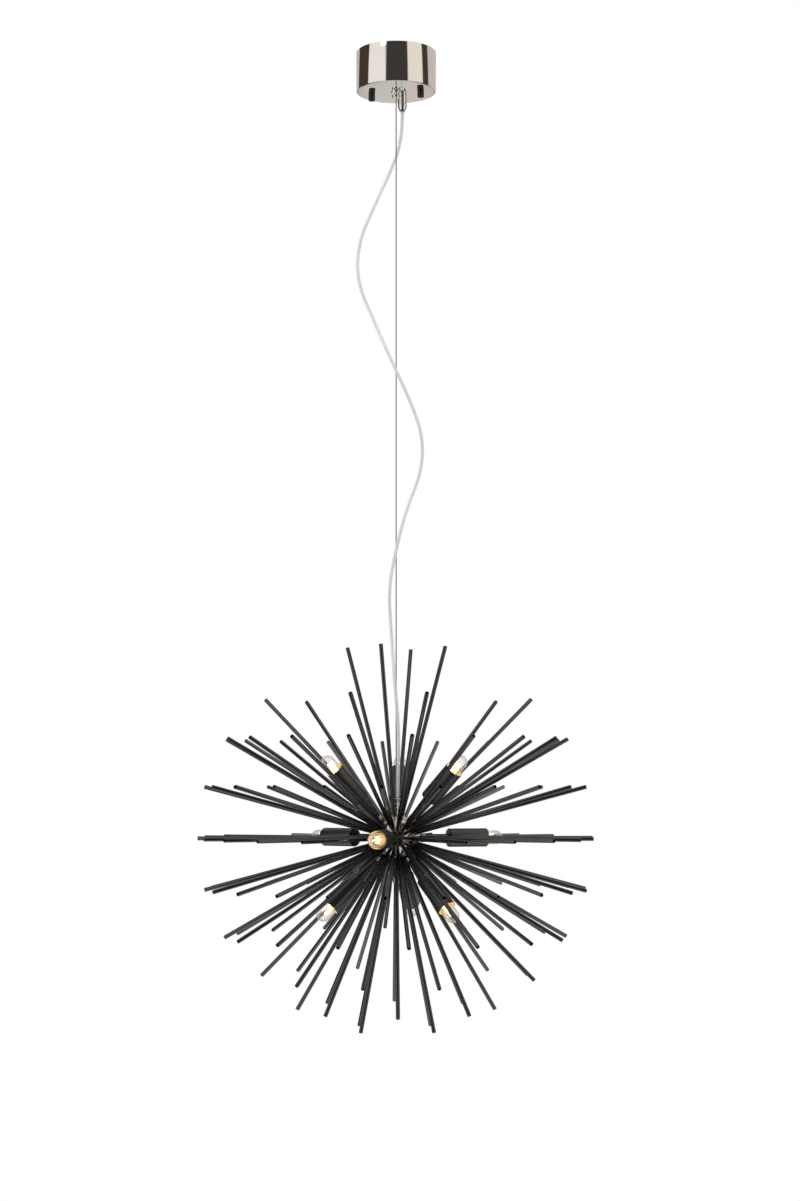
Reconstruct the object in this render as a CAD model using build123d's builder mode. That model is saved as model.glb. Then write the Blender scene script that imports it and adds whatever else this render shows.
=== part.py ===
from build123d import *

import os
from math import atan, cos, degrees, pi, radians, sin, tan

# Sputnik chandelier: a faceted hub that carries rings of thin tubes and nine lamps, hung from a ceiling
# cup by a steel wire, with a clear supply cable beside it. Millimetres, +Z up, origin at the middle of
# the ceiling plane, so the whole light hangs below z = 0. Azimuth 0 points to -Y and 90 to +X.

os.makedirs("parts", exist_ok=True)

# ---- clearances ----
RUNNING_FIT = 0.06  # radial room round a sliding or turning piece
HOLE_ROOM = 0.2  # radial room round a screw, tube or cord
CORD_GAP = 0.8  # room between a cord's end and the fitting that it hangs from or holds

# ---- rounds: all but the cup's and the ceiling screw holes are drawn with flat sides ----
ROUND_SIDES = 12  # a round that shows
SMALL_SIDES = 8  # a small or hidden one
CORD_SIDES = 6

# ---- ceiling cup and bracket ----
CANOPY_RADIUS = 50.0
CANOPY_HEIGHT = 50.0
CANOPY_WALL = 1.0
NOTCH_WIDTH = 9.0  # cable notch in the upper rim
NOTCH_DEPTH = 6.5
NOTCH_TURN = -109.0  # polar angle of the notch
BRACKET_TURN = -14.5  # polar angle of the strap
BRACKET_LENGTH = 86.0
BRACKET_WIDTH = 20.0
BRACKET_THICKNESS = 1.5
CEILING_HOLE_SPAN = 44.0  # between the two ceiling screw holes
CEILING_HOLE_RADIUS = 2.5
STUD_SPAN = 64.0  # between the two studs, and between the thumb nuts
STUD_RADIUS = 2.0
LOCK_NUT_FLATS = 7.0
LOCK_NUT_HEIGHT = 3.2
THUMB_NUT_RADIUS = 4.2  # to the crest of a rib
THUMB_NUT_HEIGHT = 8.5
THUMB_NUT_HOLE_DEPTH = 6.0
THUMB_NUT_RIBS = 12
EARTH_SCREW_X = 9.0
EARTH_SCREW_Y = -5.0
EARTH_SCREW_RADIUS = 2.0
EARTH_HEAD_RADIUS = 3.6
EARTH_HEAD_HEIGHT = 2.4
TERMINAL_LENGTH = 26.0
TERMINAL_WIDTH = 14.0
TERMINAL_HEIGHT = 11.0
TERMINAL_OFFSET = 9.0  # of the block's middle from the strap's
TERMINAL_PITCH = 8.0
TERMINAL_SCREW_RADIUS = 1.6
TERMINAL_SCREW_DEPTH = 3.0
TERMINAL_ENTRY_DEPTH = 4.0

# ---- wire gripper, screwed into the middle of the cup ----
WIRE_RADIUS = 0.75
WIRE_TAIL_TOP = -8.0
GRIPPER_RADIUS = 5.0
GRIPPER_LENGTH = 24.0  # above the cup's underside
GRIPPER_FLANGE_RADIUS = 7.0
GRIPPER_FLANGE = 1.5
GRIPPER_CHAMBER_RADIUS = 3.6
GRIPPER_LIP = 5.0  # solid length below the chamber
GRIPPER_CAP_THICKNESS = 3.0
PLUNGER_STEM_RADIUS = 2.6
PLUNGER_NOSE_RADIUS = 5.5
PLUNGER_NOSE_HEIGHT = 3.2
PLUNGER_HEAD_HEIGHT = 4.0
PLUNGER_TRAVEL = 2.5
BALL_RADIUS = 0.9
BALL_COUNT = 3
BALL_SLOPE = 25.0  # degrees, of the flats that stand for a ball's round
SPRING_WIRE = 0.6
SPRING_TURNS = 3
GRIPPER_NUT_FLATS = 13.0
CORD_GRIP_NUT_FLATS = 14.0
NUT_HEIGHT = 3.0

# ---- cord grip beside it ----
CORD_RADIUS = 2.25
CORD_GRIP_OFFSET = 32.0  # from the cup's middle, square to the strap
CORD_GRIP_THREAD_RADIUS = 5.0
CORD_GRIP_THREAD = 8.0
CORD_GRIP_COLLAR_RADIUS = 6.0
CORD_GRIP_COLLAR = 5.0
CORD_GRIP_CAP = 11.0
CORD_GRIP_CONE = 6.0  # length of the cap that narrows towards the cord
CORD_GRIP_MOUTH_RADIUS = 3.4
CABLE_TAIL_TOP = -20.0
CORE_RADIUS = 0.9
CORE_SPACING = 1.3

# ---- star ----
STAR_DROP = 994.0  # from the ceiling to the middle of the hub
HUB_RADIUS = 30.0  # to the flat that each tube stands on
HUB_STEP = 0.1  # least ledge between two bands of flats
HUB_POLE = 29.6  # height of the flat at either pole
HUB_CAVITY_RADIUS = 20.0
HUB_CAVITY_HEIGHT = 16.0  # above and below the middle of the hub
CENTRE_TUBE_RADIUS = 3.5
CENTRE_TUBE_BORE = 2.5
CENTRE_TUBE_GRIP = 5.0  # length screwed into the gland and the finial
GLAND_NECK_RADIUS = 4.7
GLAND_NECK = 6.0
GLAND_RADIUS = 6.3
GLAND_LENGTH = 8.5
GLAND_CHAMBER_RADIUS = 4.5
GLAND_CAP_RADIUS = 5.8
GLAND_CAP_LENGTH = 6.5
CORD_BESIDE_WIRE = 3.2  # distance between their axes where they enter the gland
CORD_ENTRY_TURN = -45.0  # polar angle of the cord from the wire there
FERRULE_RADIUS = 1.6
FERRULE_LENGTH = 5.0
FINIAL_RADIUS = 6.0
FINIAL_STEM = 13.0
FINIAL_TIP = 9.0
FINIAL_END_RADIUS = 3.4

# ---- tubes of the star ----
ROD_REACH = 251.0  # from the middle of the hub to a tube's tip
ROD_RADIUS = 2.5
ROD_BORE_RADIUS = 1.9
ROD_PLUG = 8.0  # length of the plug that closes a tube's foot and screws into the hub
ROD_SIDES = 5

# ---- lamps: distances run along a lamp's axis, from the middle of the hub ----
ARM_RADIUS = 5.0
ARM_BORE_RADIUS = 3.5
ARM_SEAT = 6.0  # length let into the hub
COLLAR_RADIUS = 5.9
COLLAR_START = 33.0
COLLAR_LENGTH = 5.0
SLEEVE_START = 70.0
SLEEVE_LENGTH = 52.0
SLEEVE_RADIUS = 12.0
SLEEVE_WALL = 1.0
SLEEVE_FLOOR = 1.5
HOLDER_LENGTH = 32.0
HOLDER_RADIUS = 10.2
SCREW_SHELL_DEPTH = 18.0
BULB_CAP_RADIUS = 7.0
BULB_CONTACT_RADIUS = 2.8
BULB_CONTACT_LENGTH = 1.2
BULB_RADIUS = 10.0
BULB_WALL = 0.8
BULB_STANDS_OUT = 22.0  # beyond the sleeve's mouth
BULB_SEAT_GAP = 0.6  # between the holder's face and the glass
BULB_HOLLOW_TIP = 7.0  # height and slope of the tip's hollow
BULB_HOLLOW_SLOPE = 30.0
BULB_DOME = ((5.5, 18.0), (4.0, 50.0))  # height and slope of each band of the tip

# ---- derived places ----
CUP_UNDERSIDE = -CANOPY_HEIGHT
CUP_FLOOR = CUP_UNDERSIDE + CANOPY_WALL
STRAP_UNDERSIDE = -BRACKET_THICKNESS
FLANGE_UNDERSIDE = CUP_UNDERSIDE - GRIPPER_FLANGE
NOSE = FLANGE_UNDERSIDE - PLUNGER_TRAVEL - PLUNGER_NOSE_HEIGHT
GRIPPER_TOP = CUP_UNDERSIDE + GRIPPER_LENGTH
CHAMBER_FLOOR = FLANGE_UNDERSIDE + GRIPPER_LIP
CHAMBER_TOP = GRIPPER_TOP - GRIPPER_CAP_THICKNESS
PLUNGER_TOP = CHAMBER_FLOOR + PLUNGER_HEAD_HEIGHT
WIRE_HOLE_RADIUS = WIRE_RADIUS + HOLE_ROOM
BALL_ORBIT = WIRE_RADIUS + BALL_RADIUS
CORD_EXIT = CUP_UNDERSIDE - CORD_GRIP_COLLAR - CORD_GRIP_CAP
GLAND_TOP = HUB_POLE + GLAND_NECK + GLAND_LENGTH + GLAND_CAP_LENGTH
CHAMBER_BASE = HUB_POLE + GLAND_NECK
CAP_FLOOR = CHAMBER_BASE + GLAND_LENGTH
SLEEVE_MOUTH = SLEEVE_START + SLEEVE_LENGTH
HOLDER_START = SLEEVE_START + SLEEVE_FLOOR
HOLDER_FACE = HOLDER_START + HOLDER_LENGTH
SCREW_SHELL_FLOOR = HOLDER_FACE - SCREW_SHELL_DEPTH
BULB_BASE = HOLDER_FACE + BULB_SEAT_GAP
BULB_TIP = SLEEVE_MOUTH + BULB_STANDS_OUT
BULB_SHOULDER = BULB_TIP - sum(height for height, slope in BULB_DOME)
BULB_CONTACT_START = SCREW_SHELL_FLOOR + HOLE_ROOM
BULB_CAP_START = BULB_CONTACT_START + BULB_CONTACT_LENGTH
ARM_START = HUB_RADIUS - ARM_SEAT
CORD_ENTRY_X = CORD_BESIDE_WIRE * cos(radians(CORD_ENTRY_TURN))
CORD_ENTRY_Y = CORD_BESIDE_WIRE * sin(radians(CORD_ENTRY_TURN))
STRAP_AXIS = Vector(cos(radians(BRACKET_TURN)), sin(radians(BRACKET_TURN)), 0)


def strap_plane(height):
    """A level plane whose x runs along the strap."""
    return Plane(origin=(0, 0, height), x_dir=STRAP_AXIS, z_dir=(0, 0, 1))


def cord_grip_plane(height):
    """A level plane with its origin on the cord grip's axis."""
    return Plane(origin=strap_plane(height).from_local_coords(Vector(0, CORD_GRIP_OFFSET, 0)),
                 x_dir=STRAP_AXIS, z_dir=(0, 0, 1))


def star_plane(height):
    """A level plane at a height above the middle of the hub."""
    return Plane.XY.offset(height - STAR_DROP)


def cord_entry_plane(height):
    """A level plane with its origin where the supply cord enters the star's gland."""
    return Plane(origin=(CORD_ENTRY_X, CORD_ENTRY_Y, height - STAR_DROP), z_dir=(0, 0, 1))


def radial_plane(azimuth, elevation, distance):
    """The plane square to a ray from the hub's middle, facing outwards."""
    turn, lift = radians(azimuth), radians(elevation)
    outwards = Vector(sin(turn) * cos(lift), -cos(turn) * cos(lift), sin(lift))
    middle = Vector(0, 0, -STAR_DROP) + outwards * distance
    return Plane(origin=middle, x_dir=(cos(turn), sin(turn), 0), z_dir=outwards)


def taper_between(foot_radius, top_radius, height):
    """The taper that takes a flat-sided round from one radius to another."""
    return degrees(atan((foot_radius - top_radius) * cos(pi / ROUND_SIDES) / height))


def finish(builder, name):
    """Label a piece and write it."""
    builder.part.label = name
    export_step(builder.part, f"parts/{name}.step")


class Ring:
    """One band of flats round the hub, with the azimuths of the tubes and lamps on it."""

    def __init__(self, elevation, flats, phase, rods, lamps=()):
        self.elevation = elevation
        self.flats = flats
        self.phase = phase
        self.rods = [phase + 360 / flats * place for place in rods if place not in lamps]
        self.lamps = [phase + 360 / flats * place for place in lamps]

    def apothem(self, height):
        """Distance of the flats from the hub's axis at a height above the middle."""
        lean = radians(self.elevation)
        return (HUB_RADIUS - height * sin(lean)) / cos(lean)

    def meets(self, higher):
        """The height where a band gives way to the next: the one with fewer flats stands proud all round."""
        low, high = radians(self.elevation), radians(higher.elevation)
        spread = 1 / cos(pi / max(self.flats, higher.flats))
        low_spread, high_spread = (spread, 1) if self.flats > higher.flats else (1, spread)
        ledge = -HUB_STEP if self.flats > higher.flats else HUB_STEP
        gap = HUB_RADIUS * (low_spread / cos(low) - high_spread / cos(high)) - ledge
        return gap / (low_spread * tan(low) - high_spread * tan(high))


# ---- the rings of the star: elevation, flats, azimuth of the first flat, and what stands on them ----
upper_crown = (Ring(45, 24, -3, (1, 7, 9, 15, 17, 23), (4, 12, 20)), Ring(60, 16, 1, ()),
               Ring(75, 8, 73, range(0, 8, 2)))
upper_rings = (Ring(30, 18, 5, range(18)),)
middle_rings = (Ring(15, 22, -4, range(22)), Ring(0, 24, 4, range(24), (7, 15, 23)),
                Ring(-15, 22, -3, range(22)))
lower_rings = (Ring(-30, 16, 4, range(16)),)
lower_crown = (Ring(-45, 24, 17, range(0, 24, 2), (2, 10, 18)), Ring(-60, 16, 1, range(0, 16, 2)),
               Ring(-75, 8, 47, range(0, 8, 2)))
above, equator, below = middle_rings

bands = sorted(lower_crown + lower_rings + middle_rings + upper_rings + upper_crown,
               key=lambda ring: ring.elevation)
borders = [-HUB_POLE, *(lower.meets(higher) for lower, higher in zip(bands, bands[1:])), HUB_POLE]
for ring, foot, top in zip(bands, borders, borders[1:]):
    ring.foot = foot
    ring.top = top

rod_groups = {
    "rods_crown_upper": upper_crown,
    "rods_upper": upper_rings + (above,),
    "rods_equator": (equator,),
    "rods_lower": lower_rings + (below,),
    "rods_crown_lower": lower_crown,
}
lamp_rings = {"upper": upper_crown[0], "middle": equator, "lower": lower_crown[0]}
all_lamps = [(azimuth, ring.elevation) for ring in lamp_rings.values() for azimuth in ring.lamps]


# ---- ceiling bracket: a strap with two ceiling screw holes, two studs and an earth screw ----
with BuildPart() as ceiling_bracket:
    with BuildSketch(strap_plane(STRAP_UNDERSIDE)):
        Rectangle(BRACKET_LENGTH, BRACKET_WIDTH)
        with GridLocations(CEILING_HOLE_SPAN, 0, 2, 1):
            Circle(CEILING_HOLE_RADIUS, mode=Mode.SUBTRACT)
        with GridLocations(STUD_SPAN, 0, 2, 1):
            RegularPolygon(STUD_RADIUS, SMALL_SIDES, mode=Mode.SUBTRACT)
        with Locations((EARTH_SCREW_X, EARTH_SCREW_Y)):
            RegularPolygon(EARTH_SCREW_RADIUS, SMALL_SIDES, mode=Mode.SUBTRACT)
    extrude(amount=BRACKET_THICKNESS)
finish(ceiling_bracket, "ceiling_bracket")

with BuildPart() as bracket_studs:
    stud_length = CANOPY_HEIGHT + THUMB_NUT_HOLE_DEPTH - RUNNING_FIT
    with BuildSketch(strap_plane(-stud_length)):
        with GridLocations(STUD_SPAN, 0, 2, 1):
            RegularPolygon(STUD_RADIUS, SMALL_SIDES)
    extrude(amount=stud_length)
finish(bracket_studs, "bracket_studs")

with BuildPart() as stud_nuts:
    with BuildSketch(strap_plane(STRAP_UNDERSIDE - LOCK_NUT_HEIGHT)):
        with GridLocations(STUD_SPAN, 0, 2, 1):
            RegularPolygon(LOCK_NUT_FLATS / 2, 6, major_radius=False)
            RegularPolygon(STUD_RADIUS, SMALL_SIDES, mode=Mode.SUBTRACT)
    extrude(amount=LOCK_NUT_HEIGHT)
finish(stud_nuts, "stud_nuts")

with BuildPart() as earth_screw:
    with BuildSketch(strap_plane(STRAP_UNDERSIDE - EARTH_HEAD_HEIGHT)):
        with Locations((EARTH_SCREW_X, EARTH_SCREW_Y)):
            RegularPolygon(EARTH_HEAD_RADIUS, SMALL_SIDES)
    extrude(amount=EARTH_HEAD_HEIGHT)
    with BuildSketch(strap_plane(STRAP_UNDERSIDE)):
        with Locations((EARTH_SCREW_X, EARTH_SCREW_Y)):
            RegularPolygon(EARTH_SCREW_RADIUS, SMALL_SIDES)
    extrude(amount=BRACKET_THICKNESS)
finish(earth_screw, "earth_screw")

# ---- ceiling cup ----
with BuildPart() as canopy:
    with BuildSketch(Plane.XY.offset(CUP_UNDERSIDE)):
        Circle(CANOPY_RADIUS)
    extrude(amount=CANOPY_HEIGHT)
    with BuildSketch(Plane.XY.offset(CUP_FLOOR)):
        Circle(CANOPY_RADIUS - CANOPY_WALL)
    extrude(amount=CANOPY_HEIGHT - CANOPY_WALL, mode=Mode.SUBTRACT)
    with BuildSketch(strap_plane(CUP_UNDERSIDE)):
        RegularPolygon(GRIPPER_RADIUS + HOLE_ROOM, ROUND_SIDES)
        with GridLocations(STUD_SPAN, 0, 2, 1):
            RegularPolygon(STUD_RADIUS + HOLE_ROOM, SMALL_SIDES)
        with Locations((0, CORD_GRIP_OFFSET)):
            RegularPolygon(CORD_GRIP_THREAD_RADIUS + HOLE_ROOM, ROUND_SIDES)
    extrude(amount=CANOPY_WALL, mode=Mode.SUBTRACT)
    notch_axis = Vector(cos(radians(NOTCH_TURN)), sin(radians(NOTCH_TURN)), 0)
    notch_radius = NOTCH_WIDTH / 2
    with BuildSketch(Plane(origin=(0, 0, notch_radius - NOTCH_DEPTH), x_dir=(0, 0, 1), z_dir=notch_axis)):
        Circle(notch_radius)
        Rectangle(NOTCH_DEPTH, NOTCH_WIDTH, align=(Align.MIN, Align.CENTER))
    extrude(amount=CANOPY_RADIUS, mode=Mode.SUBTRACT)
finish(canopy, "canopy")

# ---- knurled nuts that hold the cup up ----
for name, side in (("thumb_nut_left", -1), ("thumb_nut_right", 1)):
    with BuildPart() as thumb_nut:
        middle = Vector(side * STUD_SPAN / 2, 0, 0)
        top = Plane(origin=strap_plane(CUP_UNDERSIDE).from_local_coords(middle), z_dir=(0, 0, -1))
        with BuildSketch(top):
            for turn in (0, 360 / THUMB_NUT_RIBS):
                RegularPolygon(THUMB_NUT_RADIUS, THUMB_NUT_RIBS // 2, rotation=turn)
        extrude(amount=THUMB_NUT_HEIGHT)
        with BuildSketch(top):
            RegularPolygon(STUD_RADIUS + RUNNING_FIT, SMALL_SIDES, major_radius=False)
        extrude(amount=THUMB_NUT_HOLE_DEPTH, mode=Mode.SUBTRACT)
    finish(thumb_nut, name)

# ---- wire gripper: body, screwed-in top, fixing nut, spring, plunger and balls ----
with BuildPart() as gripper_body:
    with BuildSketch(Plane.XY.offset(FLANGE_UNDERSIDE)):
        RegularPolygon(GRIPPER_FLANGE_RADIUS, ROUND_SIDES)
    extrude(amount=GRIPPER_FLANGE)
    with BuildSketch(strap_plane(CUP_UNDERSIDE)):
        RegularPolygon(GRIPPER_RADIUS, ROUND_SIDES)
    extrude(amount=GRIPPER_LENGTH)
    with BuildSketch(Plane.XY.offset(FLANGE_UNDERSIDE)):
        RegularPolygon(PLUNGER_STEM_RADIUS + RUNNING_FIT, SMALL_SIDES)
    extrude(amount=GRIPPER_LIP, mode=Mode.SUBTRACT)
    with BuildSketch(Plane.XY.offset(CHAMBER_FLOOR)):
        RegularPolygon(GRIPPER_CHAMBER_RADIUS, SMALL_SIDES)
    extrude(amount=GRIPPER_TOP - CHAMBER_FLOOR, mode=Mode.SUBTRACT)
finish(gripper_body, "gripper_body")

with BuildPart() as gripper_cap:
    with BuildSketch(Plane.XY.offset(CHAMBER_TOP)):
        RegularPolygon(GRIPPER_CHAMBER_RADIUS, SMALL_SIDES)
        RegularPolygon(WIRE_HOLE_RADIUS, CORD_SIDES, mode=Mode.SUBTRACT)
    extrude(amount=GRIPPER_CAP_THICKNESS)
finish(gripper_cap, "gripper_cap")

with BuildPart() as gripper_nut:
    with BuildSketch(strap_plane(CUP_FLOOR)):
        RegularPolygon(GRIPPER_NUT_FLATS / 2, 6, major_radius=False)
        RegularPolygon(GRIPPER_RADIUS, ROUND_SIDES, mode=Mode.SUBTRACT)
    extrude(amount=NUT_HEIGHT)
finish(gripper_nut, "gripper_nut")

with BuildPart() as gripper_plunger:
    with BuildSketch(Plane.XY.offset(CHAMBER_FLOOR)):
        RegularPolygon(GRIPPER_CHAMBER_RADIUS - RUNNING_FIT, SMALL_SIDES)
    extrude(amount=PLUNGER_HEAD_HEIGHT)
    with BuildSketch(Plane.XY.offset(NOSE)):
        RegularPolygon(PLUNGER_STEM_RADIUS, SMALL_SIDES)
    extrude(amount=CHAMBER_FLOOR - NOSE)
    with BuildSketch(Plane.XY.offset(NOSE)):
        RegularPolygon(PLUNGER_NOSE_RADIUS, ROUND_SIDES)
    extrude(amount=PLUNGER_NOSE_HEIGHT)
    with BuildSketch(Plane.XY.offset(NOSE)):
        RegularPolygon(WIRE_HOLE_RADIUS, CORD_SIDES)
    extrude(amount=PLUNGER_TOP - NOSE, mode=Mode.SUBTRACT)
    with BuildSketch(Plane.XY.offset(PLUNGER_TOP - 2 * BALL_RADIUS)):
        with PolarLocations(BALL_ORBIT, BALL_COUNT):
            RegularPolygon(BALL_RADIUS + RUNNING_FIT, 6)
    extrude(amount=2 * BALL_RADIUS, mode=Mode.SUBTRACT)
finish(gripper_plunger, "gripper_plunger")

with BuildPart() as gripper_balls:
    ball_plane = Plane.XY.offset(PLUNGER_TOP - BALL_RADIUS)
    with BuildSketch(ball_plane):
        with PolarLocations(BALL_ORBIT, BALL_COUNT):
            RegularPolygon(BALL_RADIUS, 6)
    extrude(amount=BALL_RADIUS, taper=BALL_SLOPE)
    mirror(about=ball_plane)
finish(gripper_balls, "gripper_balls")

with BuildPart() as gripper_spring:
    spring_radius = GRIPPER_CHAMBER_RADIUS - SPRING_WIRE
    spring_rise = (CHAMBER_TOP - PLUNGER_TOP - 2 * SPRING_WIRE) / (SPRING_TURNS * SMALL_SIDES)
    coil_corners = []
    for corner in range(SPRING_TURNS * SMALL_SIDES + 1):
        turn = 2 * pi / SMALL_SIDES * corner
        height = PLUNGER_TOP + SPRING_WIRE + spring_rise * corner
        coil_corners.append((spring_radius * cos(turn), spring_radius * sin(turn), height))
    with BuildLine() as coil:
        Polyline(*coil_corners)
    with BuildSketch(Plane(origin=coil.line @ 0, z_dir=coil.line % 0)):
        Rectangle(SPRING_WIRE, SPRING_WIRE)
    sweep(path=coil.line, transition=Transition.RIGHT)
finish(gripper_spring, "gripper_spring")

with BuildPart() as wire_tail:
    with BuildSketch(Plane.XY.offset(NOSE)):
        RegularPolygon(WIRE_RADIUS, CORD_SIDES)
    extrude(amount=WIRE_TAIL_TOP - NOSE)
finish(wire_tail, "wire_tail")

# ---- cord grip: body through the cup's floor, tapered clamping cap and nut ----
with BuildPart() as cord_grip_body:
    with BuildSketch(cord_grip_plane(CUP_UNDERSIDE - CORD_GRIP_COLLAR)):
        RegularPolygon(CORD_GRIP_COLLAR_RADIUS, ROUND_SIDES)
    extrude(amount=CORD_GRIP_COLLAR)
    with BuildSketch(cord_grip_plane(CUP_UNDERSIDE)):
        RegularPolygon(CORD_GRIP_THREAD_RADIUS, ROUND_SIDES)
    extrude(amount=CORD_GRIP_THREAD)
    with BuildSketch(cord_grip_plane(CUP_UNDERSIDE - CORD_GRIP_COLLAR)):
        RegularPolygon(CORD_RADIUS + HOLE_ROOM, CORD_SIDES)
    extrude(amount=CORD_GRIP_COLLAR + CORD_GRIP_THREAD, mode=Mode.SUBTRACT)
finish(cord_grip_body, "cord_grip_body")

with BuildPart() as cord_grip_cap:
    cone_plane = cord_grip_plane(CORD_EXIT + CORD_GRIP_CONE)
    with BuildSketch(cone_plane):
        RegularPolygon(CORD_GRIP_COLLAR_RADIUS, ROUND_SIDES)
    cap_taper = taper_between(CORD_GRIP_COLLAR_RADIUS, CORD_GRIP_MOUTH_RADIUS, CORD_GRIP_CONE)
    extrude(amount=CORD_GRIP_CONE, taper=cap_taper)
    mirror(about=cone_plane, mode=Mode.REPLACE)
    with BuildSketch(cone_plane):
        RegularPolygon(CORD_GRIP_COLLAR_RADIUS, ROUND_SIDES)
    extrude(amount=CORD_GRIP_CAP - CORD_GRIP_CONE)
    with BuildSketch(cord_grip_plane(CORD_EXIT)):
        RegularPolygon(CORD_RADIUS + HOLE_ROOM, CORD_SIDES)
    extrude(amount=CORD_GRIP_CAP, mode=Mode.SUBTRACT)
finish(cord_grip_cap, "cord_grip_cap")

with BuildPart() as cord_grip_nut:
    with BuildSketch(cord_grip_plane(CUP_FLOOR)):
        RegularPolygon(CORD_GRIP_NUT_FLATS / 2, 6, major_radius=False)
        RegularPolygon(CORD_GRIP_THREAD_RADIUS, ROUND_SIDES, mode=Mode.SUBTRACT)
    extrude(amount=NUT_HEIGHT)
finish(cord_grip_nut, "cord_grip_nut")

# ---- terminal block under the strap, and the cable's end in the cup ----
terminal_floor = STRAP_UNDERSIDE - TERMINAL_HEIGHT
core_height = STRAP_UNDERSIDE - TERMINAL_HEIGHT / 2
terminal_side = TERMINAL_OFFSET + TERMINAL_WIDTH / 2
with BuildPart() as terminal_block:
    with BuildSketch(strap_plane(terminal_floor)):
        with Locations((0, TERMINAL_OFFSET)):
            Rectangle(TERMINAL_LENGTH, TERMINAL_WIDTH)
    extrude(amount=TERMINAL_HEIGHT)
    with BuildSketch(strap_plane(terminal_floor)):
        with Locations((0, TERMINAL_OFFSET)):
            with GridLocations(TERMINAL_PITCH, TERMINAL_PITCH, 3, 2):
                RegularPolygon(TERMINAL_SCREW_RADIUS, CORD_SIDES)
    extrude(amount=TERMINAL_SCREW_DEPTH, mode=Mode.SUBTRACT)
    entry_origin = strap_plane(core_height).from_local_coords(Vector(0, terminal_side, 0))
    entry_axis = strap_plane(0).from_local_coords(Vector(0, -1, 0))
    with BuildSketch(Plane(origin=entry_origin, x_dir=STRAP_AXIS, z_dir=entry_axis)):
        with GridLocations(TERMINAL_PITCH, 0, 3, 1):
            RegularPolygon(CORE_RADIUS, CORD_SIDES)
    extrude(amount=TERMINAL_ENTRY_DEPTH, mode=Mode.SUBTRACT)
finish(terminal_block, "terminal_block")

with BuildPart() as terminal_screws:
    with BuildSketch(strap_plane(terminal_floor)):
        with Locations((0, TERMINAL_OFFSET)):
            with GridLocations(TERMINAL_PITCH, TERMINAL_PITCH, 3, 2):
                RegularPolygon(TERMINAL_SCREW_RADIUS, CORD_SIDES)
    extrude(amount=TERMINAL_SCREW_DEPTH)
finish(terminal_screws, "terminal_screws")

with BuildPart() as cable_tail:
    with BuildSketch(cord_grip_plane(CORD_EXIT)):
        RegularPolygon(CORD_RADIUS, CORD_SIDES)
    extrude(amount=CABLE_TAIL_TOP - CORD_EXIT)
    for place in (-1, 0, 1):
        level = strap_plane(0)
        foot = level.from_local_coords(Vector(place * CORE_SPACING, CORD_GRIP_OFFSET, CABLE_TAIL_TOP))
        bend = level.from_local_coords(Vector(place * TERMINAL_PITCH, CORD_GRIP_OFFSET, core_height))
        end = level.from_local_coords(Vector(place * TERMINAL_PITCH, terminal_side, core_height))
        with BuildLine() as core_line:
            Polyline(foot, bend, end)
        with BuildSketch(Plane(origin=foot, x_dir=STRAP_AXIS, z_dir=bend - foot)):
            RegularPolygon(CORE_RADIUS, CORD_SIDES)
        sweep(path=core_line.line, transition=Transition.RIGHT)
finish(cable_tail, "cable_tail")

# ---- hanging wire and supply cord ----
with BuildPart() as suspension_wire:
    wire_bottom = GLAND_TOP - STAR_DROP + CORD_GAP
    with BuildSketch(Plane.XY.offset(wire_bottom)):
        RegularPolygon(WIRE_RADIUS, CORD_SIDES)
    extrude(amount=NOSE - CORD_GAP - wire_bottom)
finish(suspension_wire, "suspension_wire")

cord_start = cord_grip_plane(CORD_EXIT - CORD_GAP).origin
cord_end = cord_entry_plane(GLAND_TOP + CORD_GAP).origin
CORD_ROUTE = [
    cord_start,
    (8, 29.5, -102),
    (-7, 25, -144),
    (-28, 18, -190),
    (-48, 9.5, -238),
    (-50, 1, -289),
    (-29, -7, -339),
    (-7, -13, -390),
    (16, -16, -439),
    (34, -15, -487),
    (32, -12, -533),
    (13, -8.5, -578),
    (0, -6.5, -628),
    (-10, -4.5, -680),
    (-6, -4, -735),
    (-2, -4, -796),
    (3.5, -3, -857),
    (2.6, -2.3, -905),
    cord_end,
]


def route_radii(points):
    """The largest radius that each corner's shorter run leaves room for."""
    points = [Vector(point) for point in points]
    radii = []
    for before, corner, after in zip(points, points[1:], points[2:]):
        run_in, run_out = corner - before, after - corner
        turn = radians(run_in.get_angle(run_out))
        radii.append(0.45 * min(run_in.length, run_out.length) / tan(turn / 2))
    return radii


cord_radii = route_radii(CORD_ROUTE)
print("cord radii", [round(radius) for radius in cord_radii])
with BuildPart() as supply_cable:
    with BuildLine() as cord_line:
        FilletPolyline(*CORD_ROUTE, radius=cord_radii)
    with BuildSketch(Plane(origin=cord_line.line @ 0, z_dir=cord_line.line % 0)):
        RegularPolygon(CORD_RADIUS, CORD_SIDES)
    sweep(path=cord_line.line)
finish(supply_cable, "supply_cable")
print("cord length", round(cord_line.wire().length, 1))

# ---- gland on top of the hub, centre tube and finial ----
with BuildPart() as gland_body:
    with BuildSketch(star_plane(HUB_POLE)):
        RegularPolygon(GLAND_NECK_RADIUS, ROUND_SIDES)
    extrude(amount=GLAND_NECK)
    with BuildSketch(star_plane(CHAMBER_BASE)):
        RegularPolygon(GLAND_RADIUS, ROUND_SIDES)
    extrude(amount=GLAND_LENGTH)
    with BuildSketch(star_plane(HUB_POLE)):
        RegularPolygon(CENTRE_TUBE_RADIUS, SMALL_SIDES)
    extrude(amount=CENTRE_TUBE_GRIP, mode=Mode.SUBTRACT)
    with BuildSketch(star_plane(HUB_POLE)):
        RegularPolygon(CENTRE_TUBE_BORE, SMALL_SIDES)
    extrude(amount=GLAND_NECK, mode=Mode.SUBTRACT)
    with BuildSketch(star_plane(CHAMBER_BASE)):
        RegularPolygon(GLAND_CHAMBER_RADIUS, SMALL_SIDES)
    extrude(amount=GLAND_LENGTH, mode=Mode.SUBTRACT)
finish(gland_body, "gland_body")

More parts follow.
